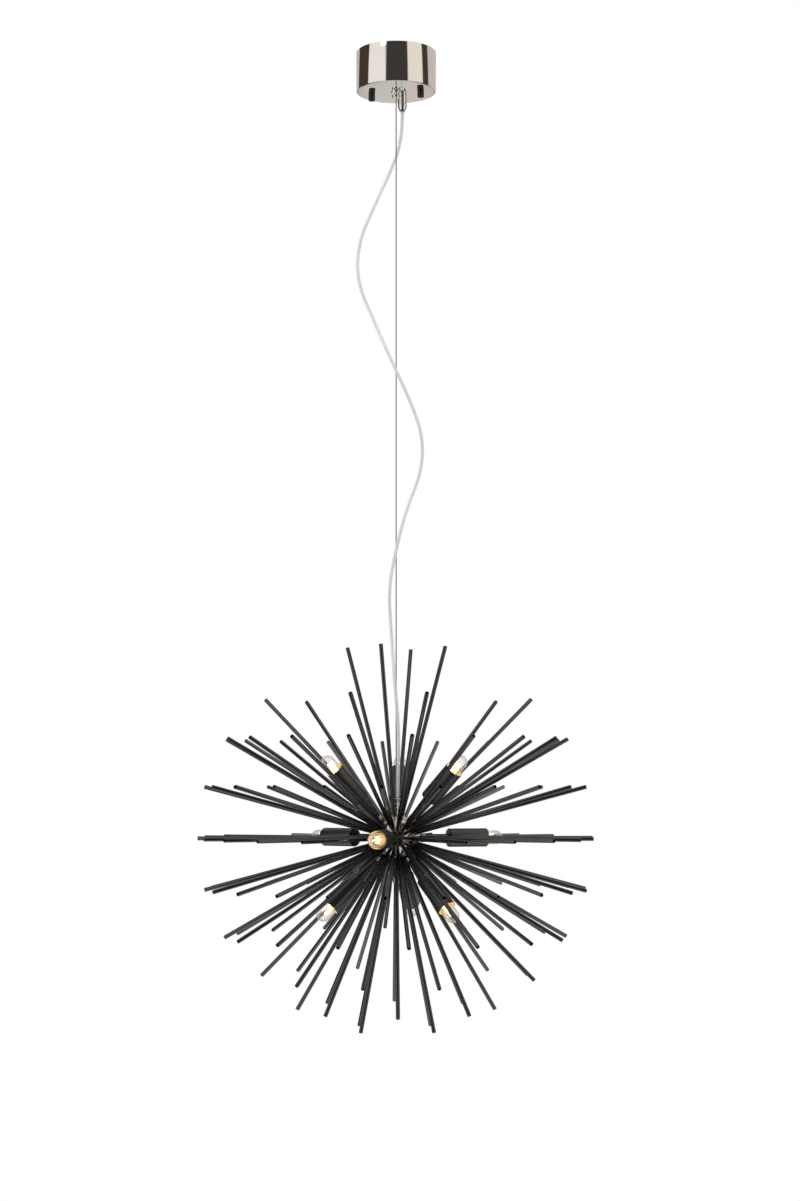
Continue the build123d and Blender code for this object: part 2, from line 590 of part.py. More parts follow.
with BuildPart() as gland_cap:
    with BuildSketch(star_plane(CAP_FLOOR)):
        RegularPolygon(GLAND_CAP_RADIUS, ROUND_SIDES)
        RegularPolygon(WIRE_RADIUS, CORD_SIDES, mode=Mode.SUBTRACT)
        with Locations((CORD_ENTRY_X, CORD_ENTRY_Y)):
            RegularPolygon(CORD_RADIUS, CORD_SIDES, mode=Mode.SUBTRACT)
    extrude(amount=GLAND_CAP_LENGTH)
finish(gland_cap, "gland_cap")

with BuildPart() as wire_ferrule:
    with BuildSketch(star_plane(CAP_FLOOR - FERRULE_LENGTH)):
        RegularPolygon(FERRULE_RADIUS, SMALL_SIDES)
    extrude(amount=FERRULE_LENGTH)
    with BuildSketch(star_plane(CAP_FLOOR)):
        RegularPolygon(WIRE_RADIUS, CORD_SIDES)
    extrude(amount=GLAND_CAP_LENGTH)
finish(wire_ferrule, "wire_ferrule")

with BuildPart() as centre_tube:
    with BuildSketch(star_plane(-HUB_POLE - CENTRE_TUBE_GRIP)):
        RegularPolygon(CENTRE_TUBE_RADIUS, SMALL_SIDES)
        RegularPolygon(CENTRE_TUBE_BORE, SMALL_SIDES, mode=Mode.SUBTRACT)
    extrude(amount=2 * (HUB_POLE + CENTRE_TUBE_GRIP))
finish(centre_tube, "centre_tube")

with BuildPart() as finial:
    stem_top = -HUB_POLE - GLAND_NECK
    tip_top = stem_top - FINIAL_STEM
    with BuildSketch(star_plane(tip_top)):
        RegularPolygon(FINIAL_RADIUS, ROUND_SIDES)
    extrude(amount=FINIAL_TIP, taper=taper_between(FINIAL_RADIUS, FINIAL_END_RADIUS, FINIAL_TIP))
    mirror(about=star_plane(tip_top), mode=Mode.REPLACE)
    with BuildSketch(star_plane(stem_top)):
        RegularPolygon(GLAND_NECK_RADIUS, ROUND_SIDES)
    extrude(amount=GLAND_NECK)
    with BuildSketch(star_plane(tip_top)):
        RegularPolygon(FINIAL_RADIUS, ROUND_SIDES)
    extrude(amount=FINIAL_STEM)
    with BuildSketch(star_plane(-HUB_POLE - CENTRE_TUBE_GRIP)):
        RegularPolygon(CENTRE_TUBE_RADIUS, SMALL_SIDES)
    extrude(amount=CENTRE_TUBE_GRIP, mode=Mode.SUBTRACT)
finish(finial, "finial")


# ---- hub: three shells with a flat square to every tube ----
hub_shells = {
    "hub_upper": upper_rings + upper_crown,
    "hub_ring": middle_rings,
    "hub_lower": lower_rings + lower_crown,
}
for name, rings in hub_shells.items():
    with BuildPart() as hub_shell:
        for ring in rings:
            mirrored = ring.elevation < 0
            wide_end = ring.top if mirrored else ring.foot
            with BuildSketch(star_plane(-wide_end if mirrored else wide_end), mode=Mode.PRIVATE) as outline:
                RegularPolygon(ring.apothem(wide_end), ring.flats, major_radius=False,
                               rotation=ring.phase - 90 - 180 / ring.flats)
            band = extrude(outline.sketch, amount=ring.top - ring.foot, taper=abs(ring.elevation),
                           mode=Mode.PRIVATE)
            add(mirror(band, about=star_plane(0), mode=Mode.PRIVATE) if mirrored else band)
        with BuildSketch(star_plane(-HUB_CAVITY_HEIGHT)):
            RegularPolygon(HUB_CAVITY_RADIUS, ROUND_SIDES)
        extrude(amount=2 * HUB_CAVITY_HEIGHT, mode=Mode.SUBTRACT)
        with BuildSketch(star_plane(-HUB_POLE)):
            RegularPolygon(CENTRE_TUBE_RADIUS, SMALL_SIDES)
        extrude(amount=2 * HUB_POLE, mode=Mode.SUBTRACT)
        for ring in rings:
            for azimuth in ring.lamps:
                with BuildSketch(radial_plane(azimuth, ring.elevation, HUB_CAVITY_HEIGHT)):
                    RegularPolygon(ARM_RADIUS, SMALL_SIDES)
        if any(ring.lamps for ring in rings):
            extrude(amount=HUB_RADIUS + ARM_SEAT - HUB_CAVITY_HEIGHT, mode=Mode.SUBTRACT)
    finish(hub_shell, name)

# ---- thin tubes ----
for name, rings in rod_groups.items():
    with BuildPart() as rods:
        for ring in rings:
            for azimuth in ring.rods:
                with BuildSketch(radial_plane(azimuth, ring.elevation, HUB_RADIUS)):
                    RegularPolygon(ROD_RADIUS, ROD_SIDES)
        extrude(amount=ROD_REACH - HUB_RADIUS)
        for ring in rings:
            for azimuth in ring.rods:
                with BuildSketch(radial_plane(azimuth, ring.elevation, HUB_RADIUS + ROD_PLUG)):
                    RegularPolygon(ROD_BORE_RADIUS, ROD_SIDES)
        extrude(amount=ROD_REACH - HUB_RADIUS - ROD_PLUG, mode=Mode.SUBTRACT)
    finish(rods, name)

# ---- lamp arms, collars, sleeves and holders ----
with BuildPart() as lamp_arms:
    for azimuth, elevation in all_lamps:
        with BuildSketch(radial_plane(azimuth, elevation, ARM_START)):
            RegularPolygon(ARM_RADIUS, SMALL_SIDES)
            RegularPolygon(ARM_BORE_RADIUS, SMALL_SIDES, mode=Mode.SUBTRACT)
    extrude(amount=SLEEVE_START - ARM_START)
finish(lamp_arms, "lamp_arms")

with BuildPart() as arm_collars:
    for azimuth, elevation in all_lamps:
        with BuildSketch(radial_plane(azimuth, elevation, COLLAR_START)):
            RegularPolygon(COLLAR_RADIUS, SMALL_SIDES)
            RegularPolygon(ARM_RADIUS, SMALL_SIDES, mode=Mode.SUBTRACT)
    extrude(amount=COLLAR_LENGTH)
finish(arm_collars, "arm_collars")

for level, ring in lamp_rings.items():
    with BuildPart() as sleeves:
        for azimuth in ring.lamps:
            with BuildSketch(radial_plane(azimuth, ring.elevation, SLEEVE_START)):
                RegularPolygon(SLEEVE_RADIUS, ROUND_SIDES)
        extrude(amount=SLEEVE_LENGTH)
        for azimuth in ring.lamps:
            with BuildSketch(radial_plane(azimuth, ring.elevation, HOLDER_START)):
                RegularPolygon(SLEEVE_RADIUS - SLEEVE_WALL, ROUND_SIDES)
        extrude(amount=SLEEVE_LENGTH, mode=Mode.SUBTRACT)
        for azimuth in ring.lamps:
            with BuildSketch(radial_plane(azimuth, ring.elevation, SLEEVE_START)):
                RegularPolygon(ARM_BORE_RADIUS, SMALL_SIDES)
        extrude(amount=SLEEVE_FLOOR, mode=Mode.SUBTRACT)
    finish(sleeves, f"lamp_sleeves_{level}")

with BuildPart() as lampholders:
    for azimuth, elevation in all_lamps:
        with BuildSketch(radial_plane(azimuth, elevation, HOLDER_START)):
            RegularPolygon(HOLDER_RADIUS, SMALL_SIDES)
    extrude(amount=HOLDER_LENGTH)
    for azimuth, elevation in all_lamps:
        with BuildSketch(radial_plane(azimuth, elevation, SCREW_SHELL_FLOOR)):
            RegularPolygon(BULB_CAP_RADIUS + HOLE_ROOM, SMALL_SIDES)
    extrude(amount=SCREW_SHELL_DEPTH, mode=Mode.SUBTRACT)
finish(lampholders, "lampholders")

# ---- bulbs: a screw cap with its end contact and a hollow domed glass, drawn upright ----
with BuildPart() as cap_shape:
    with BuildSketch(Plane.XY.offset(BULB_CONTACT_START)):
        RegularPolygon(BULB_CONTACT_RADIUS, CORD_SIDES)
    extrude(amount=BULB_CONTACT_LENGTH)
    with BuildSketch(Plane.XY.offset(BULB_CAP_START)):
        RegularPolygon(BULB_CAP_RADIUS, SMALL_SIDES)
    extrude(amount=BULB_BASE - BULB_CAP_START)

with BuildPart() as glass_shape:
    with BuildSketch(Plane.XY.offset(BULB_BASE)):
        RegularPolygon(BULB_RADIUS, SMALL_SIDES)
    extrude(amount=BULB_SHOULDER - BULB_BASE)
    for height, slope in BULB_DOME:
        extrude(glass_shape.faces().sort_by(Axis.Z)[-1], amount=height, taper=slope)
    with BuildSketch(Plane.XY.offset(BULB_BASE + BULB_WALL)):
        RegularPolygon(BULB_RADIUS - BULB_WALL, SMALL_SIDES)
    extrude(amount=BULB_SHOULDER - BULB_BASE - BULB_WALL, mode=Mode.SUBTRACT)
    with BuildSketch(Plane.XY.offset(BULB_SHOULDER)):
        RegularPolygon(BULB_RADIUS - BULB_WALL, SMALL_SIDES)
    extrude(amount=BULB_HOLLOW_TIP, taper=BULB_HOLLOW_SLOPE, mode=Mode.SUBTRACT)

for number, (azimuth, elevation) in enumerate(all_lamps, start=1):
    for kind, shape in (("cap", cap_shape), ("glass", glass_shape)):
        with BuildPart() as bulb_piece:
            with Locations(radial_plane(azimuth, elevation, 0).location):
                add(shape.part)
        finish(bulb_piece, f"bulb_{number}_{kind}")
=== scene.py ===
"""Sputnik chandelier: a polished ceiling cup, a steel wire, a clear cable and a star of black tubes.

Sizes are in metres. Azimuth 0 points at the viewer, along -Y, and 90 to +X. The star's pieces are
turned round their own Z axis and then set along rays from the middle of the hub, which are read from
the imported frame.
"""

import logging
import math
from collections.abc import Mapping, Sequence
from dataclasses import dataclass, field
from enum import Enum

import bmesh
import bpy
from mathutils import Matrix, Vector


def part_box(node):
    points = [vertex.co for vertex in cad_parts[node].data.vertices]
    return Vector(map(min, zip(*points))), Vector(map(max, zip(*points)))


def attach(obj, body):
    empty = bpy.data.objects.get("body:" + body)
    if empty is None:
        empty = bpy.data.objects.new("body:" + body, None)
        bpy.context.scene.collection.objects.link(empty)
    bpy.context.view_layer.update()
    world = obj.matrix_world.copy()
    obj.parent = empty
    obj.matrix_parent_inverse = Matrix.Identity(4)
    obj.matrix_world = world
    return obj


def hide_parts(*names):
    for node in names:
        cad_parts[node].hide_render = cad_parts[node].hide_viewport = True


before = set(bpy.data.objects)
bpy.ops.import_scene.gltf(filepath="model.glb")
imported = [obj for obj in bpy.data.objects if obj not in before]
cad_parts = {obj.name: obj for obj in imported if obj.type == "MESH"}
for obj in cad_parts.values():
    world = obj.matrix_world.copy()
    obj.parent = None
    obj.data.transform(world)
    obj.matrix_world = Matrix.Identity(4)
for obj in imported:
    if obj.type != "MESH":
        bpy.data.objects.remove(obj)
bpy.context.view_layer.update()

LOG = logging.getLogger("chandelier")
MM = 0.001
WELD = 1e-6  # corners closer than this many metres are one
Profile = Sequence[tuple[float, float]]
Colour = tuple[float, float, float]
Spot = tuple[float, float, float]
Piece = bpy.types.Object


# ---- named choices


class Maths(Enum):
    """What a Math node works out."""

    SUM = "ADD"
    DIFFERENCE = "SUBTRACT"
    PRODUCT = "MULTIPLY"
    QUOTIENT = "DIVIDE"
    ANGLE = "ARCTAN2"


class Side(Enum):
    """The two thumb nuts."""

    LEFT = "left"
    RIGHT = "right"


class Level(Enum):
    """The three rings of lamps."""

    UPPER = "upper"
    MIDDLE = "middle"
    LOWER = "lower"


class Body(Enum):
    """The record's moving bodies that carry pieces."""

    CEILING = "ceiling_fitting"
    PLUNGER = "plunger"
    NUT_LEFT = "thumb_nut_left"
    NUT_RIGHT = "thumb_nut_right"
    LINE = "line"
    STAR = "star"
    BULB_1 = "bulb_1"
    BULB_2 = "bulb_2"
    BULB_3 = "bulb_3"
    BULB_4 = "bulb_4"
    BULB_5 = "bulb_5"
    BULB_6 = "bulb_6"
    BULB_7 = "bulb_7"
    BULB_8 = "bulb_8"
    BULB_9 = "bulb_9"


class Slot(Enum):
    """The record's material slots, listed beside the pieces that belong in them."""

    NICKEL = "nickel"
    CHROME = "chrome"
    BLACK_CHROME = "black_chrome"
    KNURLED = "black_knurled"
    WIRE = "steel_wire"
    CABLE = "clear_cable"
    TUBE = "black_tube"
    SLEEVE = "satin_black"
    HOLDER = "holder_black"
    CAP = "bulb_cap"
    GLASS = "bulb_glass"


# ---- shader maths


class Field:
    """A value that varies over a surface, with ordinary arithmetic."""

    def __init__(self, board: "Board", socket: bpy.types.NodeSocket) -> None:
        """Wrap a socket.

        Args:
            board: the material's nodes.
            socket: the output that carries the value.
        """
        self.board = board
        self.socket = socket

    def _maths(self, operation: Maths, first: "Field | float", second: "Field | float") -> "Field":
        """Add one Math node.

        Args:
            operation: what it works out.
            first: the left operand.
            second: the right operand.

        Returns:
            The node's value.
        """
        settings = {"operation": operation.value}
        return self.board.node("ShaderNodeMath", settings, {0: first, 1: second})["Value"]

    def __add__(self, other: "Field | float") -> "Field":
        """Sum."""
        return self._maths(Maths.SUM, self, other)

    def __sub__(self, other: "Field | float") -> "Field":
        """Difference."""
        return self._maths(Maths.DIFFERENCE, self, other)

    def __mul__(self, other: "Field | float") -> "Field":
        """Product."""
        return self._maths(Maths.PRODUCT, self, other)

    def __truediv__(self, other: "Field | float") -> "Field":
        """Quotient."""
        return self._maths(Maths.QUOTIENT, self, other)

    def angle(self, level: "Field") -> "Field":
        """Angle of the point that lies this high over that far along."""
        return self._maths(Maths.ANGLE, self, level)

    def clamped(self) -> "Field":
        """Keep between 0 and 1."""
        return self.board.node("ShaderNodeClamp", {}, {"Value": self})["Result"]


class Board:
    """The nodes of one material or world."""

    def __init__(self, tree: bpy.types.NodeTree) -> None:
        """Empty a node tree.

        Args:
            tree: the tree to fill.
        """
        self.tree = tree
        tree.nodes.clear()

    def node(
        self, kind: str, settings: Mapping[str, object], inputs: Mapping[int | str, object]
    ) -> dict[str, Field]:
        """Add one node.

        Args:
            kind: the node's type.
            settings: its settings, set before its sockets; "stops" holds a ramp's places and colours.
            inputs: the values or links of its sockets.

        Returns:
            Its enabled outputs by name.
        """
        made = self.tree.nodes.new(kind)
        for name, value in settings.items():
            if name == "stops":
                self._set_stops(made.color_ramp, value)
            else:
                setattr(made, name, value)
        for key, value in inputs.items():
            socket = made.inputs[key]
            if isinstance(value, Field):
                self.tree.links.new(value.socket, socket)
            else:
                socket.default_value = value
        return {out.name: Field(self, out) for out in made.outputs if out.enabled}

    @staticmethod
    def _set_stops(ramp: bpy.types.ColorRamp, stops: Sequence[tuple[float, Colour]]) -> None:
        """Fill a colour ramp.

        Args:
            ramp: the ramp.
            stops: each stop's place and colour.
        """
        while len(ramp.elements) > 1:
            ramp.elements.remove(ramp.elements[-1])
        for number, (place, colour) in enumerate(stops):
            element = ramp.elements[0] if number == 0 else ramp.elements.new(place)
            element.position = place
            element.color = (*colour, 1.0)

    def noise(self, scale: float, detail: float = 3.0, stretch: Spot = (1, 1, 1)) -> Field:
        """Add noise on Object coordinates.

        Args:
            scale: features per metre.
            detail: octaves.
            stretch: scale along each axis.

        Returns:
            The noise, from 0 to 1.
        """
        place = self.node("ShaderNodeTexCoord", {}, {})["Object"]
        place = self.node("ShaderNodeMapping", {}, {"Vector": place, "Scale": stretch})["Vector"]
        return self.node("ShaderNodeTexNoise", {}, {"Vector": place, "Scale": scale, "Detail": detail})["Fac"]

    def blend(self, factor: Field, first: "Field | Colour", second: "Field | Colour") -> Field:
        """Blend two colours.

        Args:
            factor: 0 gives the first colour and 1 the second.
            first: the first colour.
            second: the second colour.

        Returns:
            The blended colour.
        """
        made = self.tree.nodes.new("ShaderNodeMix")
        made.data_type = "RGBA"
        sockets = {socket.name: socket for socket in made.inputs if socket.enabled}
        for name, value in (("Factor", factor), ("A", first), ("B", second)):
            if isinstance(value, Field):
                self.tree.links.new(value.socket, sockets[name])
            else:
                sockets[name].default_value = (*value, 1.0)
        return next(Field(self, out) for out in made.outputs if out.enabled)

    def bump(self, height: Field, distance: float, strength: float = 1.0) -> Field:
        """Add a bump.

        Args:
            height: the height, from 0 to 1.
            distance: the height's size in metres.
            strength: how much of it shows.

        Returns:
            The normal.
        """
        inputs = {"Height": height, "Distance": distance, "Strength": strength}
        return self.node("ShaderNodeBump", {}, inputs)["Normal"]


# ---- finishes


@dataclass(frozen=True)
class Finish:
    """A surface: constants for the shader's own sockets, and its own detail."""

    name: str  # the material's name
    constants: Mapping[str, object] = field(default_factory=dict)  # the shader's constant sockets

    def detail(self, board: Board) -> dict[str, object]:
        """Give the sockets that vary over the surface."""
        return {}

    def material(self) -> bpy.types.Material:
        """Make the material, or find it if it is made.

        Returns:
            The material.
        """
        known = bpy.data.materials.get(self.name)
        if known is not None:
            return known
        made = bpy.data.materials.new(self.name)
        made.use_nodes = True
        board = Board(made.node_tree)
        sockets = dict(self.constants) | self.detail(board)
        surface = board.node("ShaderNodeBsdfPrincipled", {}, sockets)["BSDF"]
        board.node("ShaderNodeOutputMaterial", {}, {"Surface": surface})
        return made


@dataclass(frozen=True)
class PolishedMetal(Finish):
    """Polished plating with faint wiping marks."""

    tint: Colour = (0.8, 0.78, 0.76)  # the metal's colour
    smear: Colour = (0.74, 0.72, 0.7)  # the colour under the wiping marks
    polish: float = 0.03  # roughness of the clean metal
    haze: float = 0.05  # roughness that the marks add

    def detail(self, board: Board) -> dict[str, object]:
        """Vary colour and roughness with soft smears and fine grain.

        Args:
            board: the material's nodes.

        Returns:
            The sockets that vary.
        """
        smears = ((board.noise(38.0, 4.0) - 0.45) * 3.0).clamped()
        grain = board.noise(900.0, 2.0)
        return {
            "Base Color": board.blend(smears, self.tint, self.smear),
            "Roughness": smears * self.haze + grain * 0.02 + self.polish,
            "Normal": board.bump(grain, 0.004 * MM, 0.2),
        }


@dataclass(frozen=True)
class BlackPaint(Finish):
    """Black lacquer or powder coat with a fine orange peel."""

    shade: Colour = (0.007, 0.007, 0.0075)  # the paint's colour
    dust: Colour = (0.02, 0.0195, 0.019)  # the colour of its lighter specks
    gloss: float = 0.06  # roughness of the film
    peel: float = 1.2 * MM  # size of the orange peel's features, in metres
    relief: float = 0.003 * MM  # height of the orange peel, in metres

    def detail(self, board: Board) -> dict[str, object]:
        """Mix in dust, patches of duller film and the peel's relief.

        Args:
            board: the material's nodes.

        Returns:
            The sockets that vary.
        """
        peel = board.noise(1 / self.peel, 2.0)
        patches = board.noise(55.0, 3.0)
        specks = ((board.noise(2600.0, 1.0) - 0.62) * 6.0).clamped()
        return {
            "Base Color": board.blend(specks, self.shade, self.dust),
            "Roughness": patches * 0.05 + specks * 0.08 + (self.gloss - 0.025),
            "Normal": board.bump(peel, self.relief, 0.6),
        }


@dataclass(frozen=True)
class LitSleeve(BlackPaint):
    """Black powder coat whose inner wall is lit by painted light: an emission that stands in for the bulb's
    light.
    """

    painted_glow: Colour = (0.95, 0.55, 0.14)  # the colour of the painted light on the inner wall

    def detail(self, board: Board) -> dict[str, object]:
        """Add painted light: a warm emission on the inner wall, where the mesh's own attribute places it.

        Args:
            board: the material's nodes.

        Returns:
            The sockets that vary.
        """
        # painted light: the 'lit' attribute marks where the inner wall glows in the bulb's colour
        lit = board.node("ShaderNodeAttribute", {"attribute_name": "lit"}, {})["Fac"]
        cloud = board.noise(400.0, 2.0) * 0.3 + 0.85
        glow = board.blend((lit * cloud).clamped(), (0.0, 0.0, 0.0), self.painted_glow)
        return super().detail(board) | {"Emission Color": glow}


@dataclass(frozen=True)
class BrushedMetal(Finish):
    """Bare or zinc-plated metal with a drawn grain."""

    tint: Colour = (0.62, 0.63, 0.64)  # the metal's colour
    dull: Colour = (0.42, 0.42, 0.43)  # the colour in the grain's hollows
    grain: float = 2500.0  # features per metre across the grain
    along: Spot = (0.04, 1.0, 1.0)  # axis stretch of the grain

    def detail(self, board: Board) -> dict[str, object]:
        """Draw the grain in colour, roughness and relief.

        Args:
            board: the material's nodes.

        Returns:
            The sockets that vary.
        """
        lines = board.noise(self.grain, 2.0, self.along)
        return {
            "Base Color": board.blend(lines, self.dull, self.tint),
            "Roughness": lines * 0.2 + 0.22,
            "Normal": board.bump(lines, 0.01 * MM, 0.5),
        }


@dataclass(frozen=True)
class MouldedPlastic(Finish):
    """Moulded plastic with a fine mould texture."""

    shade: Colour = (0.8, 0.79, 0.75)  # the plastic's colour
    worn: Colour = (0.7, 0.69, 0.65)  # the colour of its rubbed spots

    def detail(self, board: Board) -> dict[str, object]:
        """Vary the colour gently and add the mould's texture.

        Args:
            board: the material's nodes.

        Returns:
            The sockets that vary.
        """
        cloud = board.noise(240.0, 3.0)
        texture = board.noise(4200.0, 2.0)
        return {
            "Base Color": board.blend(cloud, self.shade, self.worn),
            "Roughness": texture * 0.12 + 0.38,
            "Normal": board.bump(texture, 0.02 * MM, 0.5),
        }


@dataclass(frozen=True)
class ClearSkin(Finish):
    """A clear wall of plastic or blown glass that looks denser towards its edges."""

    tint: Colour = (0.84, 0.85, 0.84)  # the wall's colour
    cloud: Colour = (0.74, 0.75, 0.74)  # the colour of its cloudier stretches
    thin: float = 0.22  # how much its middle hides
    dense: float = 0.6  # how much more its edges hide
    film: float = 0.16  # roughness where it is clean
    waves: float = 0.01 * MM  # relief of its waves, in metres

    def detail(self, board: Board) -> dict[str, object]:
        """Cloud the colour, add the waves, and hide more where the surface turns away.

        Args:
            board: the material's nodes.

        Returns:
            The sockets that vary.
        """
        haze = board.noise(70.0, 3.0)
        edges = board.node("ShaderNodeLayerWeight", {}, {"Blend": 0.35})["Facing"]
        return {
            "Base Color": board.blend(haze, self.tint, self.cloud),
            "Roughness": haze * 0.1 + self.film,
            "Normal": board.bump(board.noise(160.0, 1.0), self.waves, 0.4),
            "Alpha": (edges * self.dense + haze * 0.1 + self.thin).clamped(),
        }


@dataclass(frozen=True)
class Glow(Finish):
    """A glowing surface that is hotter in some places: a real filament, or painted light on a part that is no
    lamp.
    """

    hot: Colour = (1.0, 0.86, 0.6)  # the colour at its brightest
    warm: Colour = (1.0, 0.62, 0.22)  # the colour at its dimmest
    grain: float = 300.0  # features per metre of its unevenness

    def detail(self, board: Board) -> dict[str, object]:
        """Let the emission's colour run from warm to hot.

        Args:
            board: the material's nodes.

        Returns:
            The sockets that vary.
        """
        heat = board.noise(self.grain, 2.0)
        return {
            "Emission Color": board.blend(heat, self.warm, self.hot),
            "Base Color": board.blend(heat, self.warm, self.hot),
        }


METAL = {"Metallic": 1.0}
NICKEL = PolishedMetal(
    "polished_nickel", METAL, tint=(0.84, 0.8, 0.76), smear=(0.79, 0.75, 0.71), polish=0.02
)
CHROME = PolishedMetal("bright_chrome", METAL, tint=(0.86, 0.86, 0.87), smear=(0.78, 0.78, 0.79))
BLACK_CHROME = PolishedMetal(
    "black_chrome_plate", METAL, tint=(0.62, 0.57, 0.52), smear=(0.54, 0.49, 0.45)
)
GLOSS_BLACK = BlackPaint("gloss_black_tube", {"IOR": 1.85})
# the sleeve's emission paints the bulb's light on its inner wall near the mouth
SATIN_BLACK = LitSleeve(
    "satin_black_sleeve", {"IOR": 1.85, "Emission Strength": 1.0}, gloss=0.33, peel=0.7 * MM
)
KNURLED_BLACK = BlackPaint("knurled_black_nut", {"IOR": 1.6}, gloss=0.3, peel=0.5 * MM)
SOCKET_BLACK = MouldedPlastic("socket_black", {}, shade=(0.02, 0.02, 0.02), worn=(0.035, 0.033, 0.03))
WHITE_PLASTIC = MouldedPlastic("terminal_white", {})
ZINC = BrushedMetal("zinc_plate", METAL)
SPRING = BrushedMetal("bright_spring_steel", METAL, tint=(0.6, 0.6, 0.62))
BRASS = BrushedMetal("turned_brass", METAL, tint=(0.78, 0.6, 0.28), dull=(0.5, 0.36, 0.14))
BULB_METAL = BrushedMetal("bulb_cap_metal", METAL, tint=(0.82, 0.8, 0.76), dull=(0.6, 0.58, 0.54))
GLASS = ClearSkin(
    "blown_glass", {"IOR": 1.5}, tint=(0.6, 0.59, 0.57), cloud=(0.52, 0.51, 0.49), thin=0.02, film=0.01
)
SHEATH = ClearSkin("clear_sheath", {"IOR": 1.4})
STRAND = BrushedMetal("wire_strand", METAL, tint=(0.5, 0.51, 0.52), dull=(0.25, 0.26, 0.27), grain=1800.0)
CORE_TIN = MouldedPlastic("tinned_core", {}, shade=(0.72, 0.73, 0.72), worn=(0.64, 0.65, 0.64))
CORE_WHITE = MouldedPlastic("white_core", {}, shade=(0.8, 0.81, 0.8), worn=(0.72, 0.73, 0.72))
SHEATH_CUT = MouldedPlastic("cut_sheath", {}, shade=(0.82, 0.84, 0.83), worn=(0.74, 0.76, 0.75))
FLOOR = MouldedPlastic("pale_floor", {}, shade=(0.86, 0.86, 0.86), worn=(0.84, 0.84, 0.84))
FILAMENT = Glow("filament_glow", {"Emission Strength": 3.5}, hot=(1.0, 0.9, 0.66), warm=(1.0, 0.78, 0.42))
# painted light: the glass stem glows, standing in for the filaments' light on it
STEM = Glow("stem_painted_glow", {"Emission Strength": 1.0}, hot=(1.0, 0.74, 0.34), warm=(0.95, 0.55, 0.16))


# ---- modelling steps that the sub-assemblies share


def clear() -> None:
    """Leave edit mode and deselect everything."""
    if bpy.context.object and bpy.context.object.mode != "OBJECT":
        bpy.ops.object.mode_set(mode="OBJECT")
    bpy.ops.object.select_all(action="DESELECT")


def pick(obj: Piece) -> None:
    """Select one object and make it active.

    Args:
        obj: the object.
    """
    clear()
    obj.select_set(True)
    bpy.context.view_layer.objects.active = obj


def unpack(obj: Piece) -> None:
    """Open an object's whole mesh in edit mode.

    Args:
        obj: the object.
    """
    pick(obj)
    bpy.ops.object.mode_set(mode="EDIT")
    bpy.ops.mesh.select_all(action="SELECT")


def seal() -> None:
    """Weld the edited mesh, face it outward and leave edit mode."""
    bpy.ops.mesh.select_all(action="SELECT")
    bpy.ops.mesh.remove_doubles(threshold=WELD)
    bpy.ops.mesh.normals_make_consistent(inside=False)
    clear()


def turned(name: str, profile: Profile, sides: int = 48, closed: bool = False) -> Piece:
    """Turn a profile round Z: a first ring is extruded and scaled from point to point.

    Args:
        name: the piece's name.
        profile: radius and height of each ring, in millimetres.
        sides: flats round the axis.
        closed: True for a ring-shaped piece, whose last point meets its first.

    Returns:
        The piece.
    """
    clear()
    rings = [(radius * MM, height * MM) for radius, height in profile]
    radius, height = rings[0]
    fill = "NOTHING" if closed else "NGON"
    bpy.ops.mesh.primitive_circle_add(vertices=sides, radius=radius, fill_type=fill, location=(0, 0, height))
    obj = bpy.context.object
    obj.name = name
    unpack(obj)
    for next_radius, next_height in rings[1:] + rings[: int(closed)]:
        rise = {"value": (0, 0, next_height - height)}
        bpy.ops.mesh.extrude_region_move(TRANSFORM_OT_translate=rise)
        ratio = next_radius / radius
        bpy.ops.transform.resize(value=(ratio, ratio, 1), center_override=(0, 0, next_height))
        radius, height = next_radius, next_height
    seal()
    settle(obj)
    return obj


def settle(obj: Piece, place: Matrix | None = None) -> None:
    """Put an object's place into its mesh.

    Args:
        obj: the object.
        place: where it goes, if it moves first.
    """
    pick(obj)
    if place is not None:
        obj.matrix_world = place @ obj.matrix_world
    bpy.ops.object.transform_apply(location=True, rotation=True, scale=True)


def bevel(obj: Piece, width: float, angle: float) -> None:
    """Round an object's sharp edges in two steps.

    Args:
        obj: the object.
        width: the bevel's width.
        angle: the least angle, in degrees, of an edge that is bevelled.
    """
    pick(obj)
    modifier = obj.modifiers.new("edge", "BEVEL")
    modifier.width = width
    modifier.segments = 2
    modifier.limit_method = "ANGLE"
    modifier.angle_limit = math.radians(angle)
    modifier.harden_normals = False
    bpy.ops.object.modifier_apply(modifier=modifier.name)


def cut(obj: Piece, tool: Piece) -> None:
    """Cut one solid with another, which is used up.

    Args:
        obj: the solid that stays.
        tool: the solid that is taken away.
    """
    pick(obj)
    modifier = obj.modifiers.new("cut", "BOOLEAN")
    modifier.operation = "DIFFERENCE"
    modifier.solver = "EXACT"
    modifier.object = tool
    bpy.ops.object.modifier_apply(modifier=modifier.name)
    bpy.data.objects.remove(tool)


def smooth(obj: Piece, angle: float = 32.0) -> None:
    """Shade an object smooth, apart from its sharp edges.

    Args:
        obj: the object.
        angle: the least angle, in degrees, that stays sharp.
    """
    pick(obj)
    bpy.ops.object.shade_smooth_by_angle(angle=math.radians(angle))


def copy(obj: Piece, name: str, place: Matrix) -> Piece:
    """Copy an object with its own mesh, moved to its place.

    Args:
        obj: the object to copy.
        name: the copy's name.
        place: where the copy's mesh goes.

    Returns:
        The copy.
    """
    made = obj.copy()
    made.data = obj.data.copy()
    made.name = name
    made.data.transform(place)
    bpy.context.scene.collection.objects.link(made)
    return made


def joined(name: str, pieces: Sequence[Piece]) -> Piece:
    """Join pieces of one finish into one object.

    Args:
        name: the joined object's name.
        pieces: the objects, which are used up.

    Returns:
        The joined object.
    """
    pick(pieces[0])
    for piece in pieces:
        piece.select_set(True)
    if len(pieces) > 1:
        bpy.ops.object.join()
    pieces[0].name = name
    return pieces[0]


def dress(obj: Piece, finish: Finish) -> None:
    """Give an object one finish.

    Args:
        obj: the object.
        finish: its finish.
    """
    obj.data.materials.clear()
    obj.data.materials.append(finish.material())


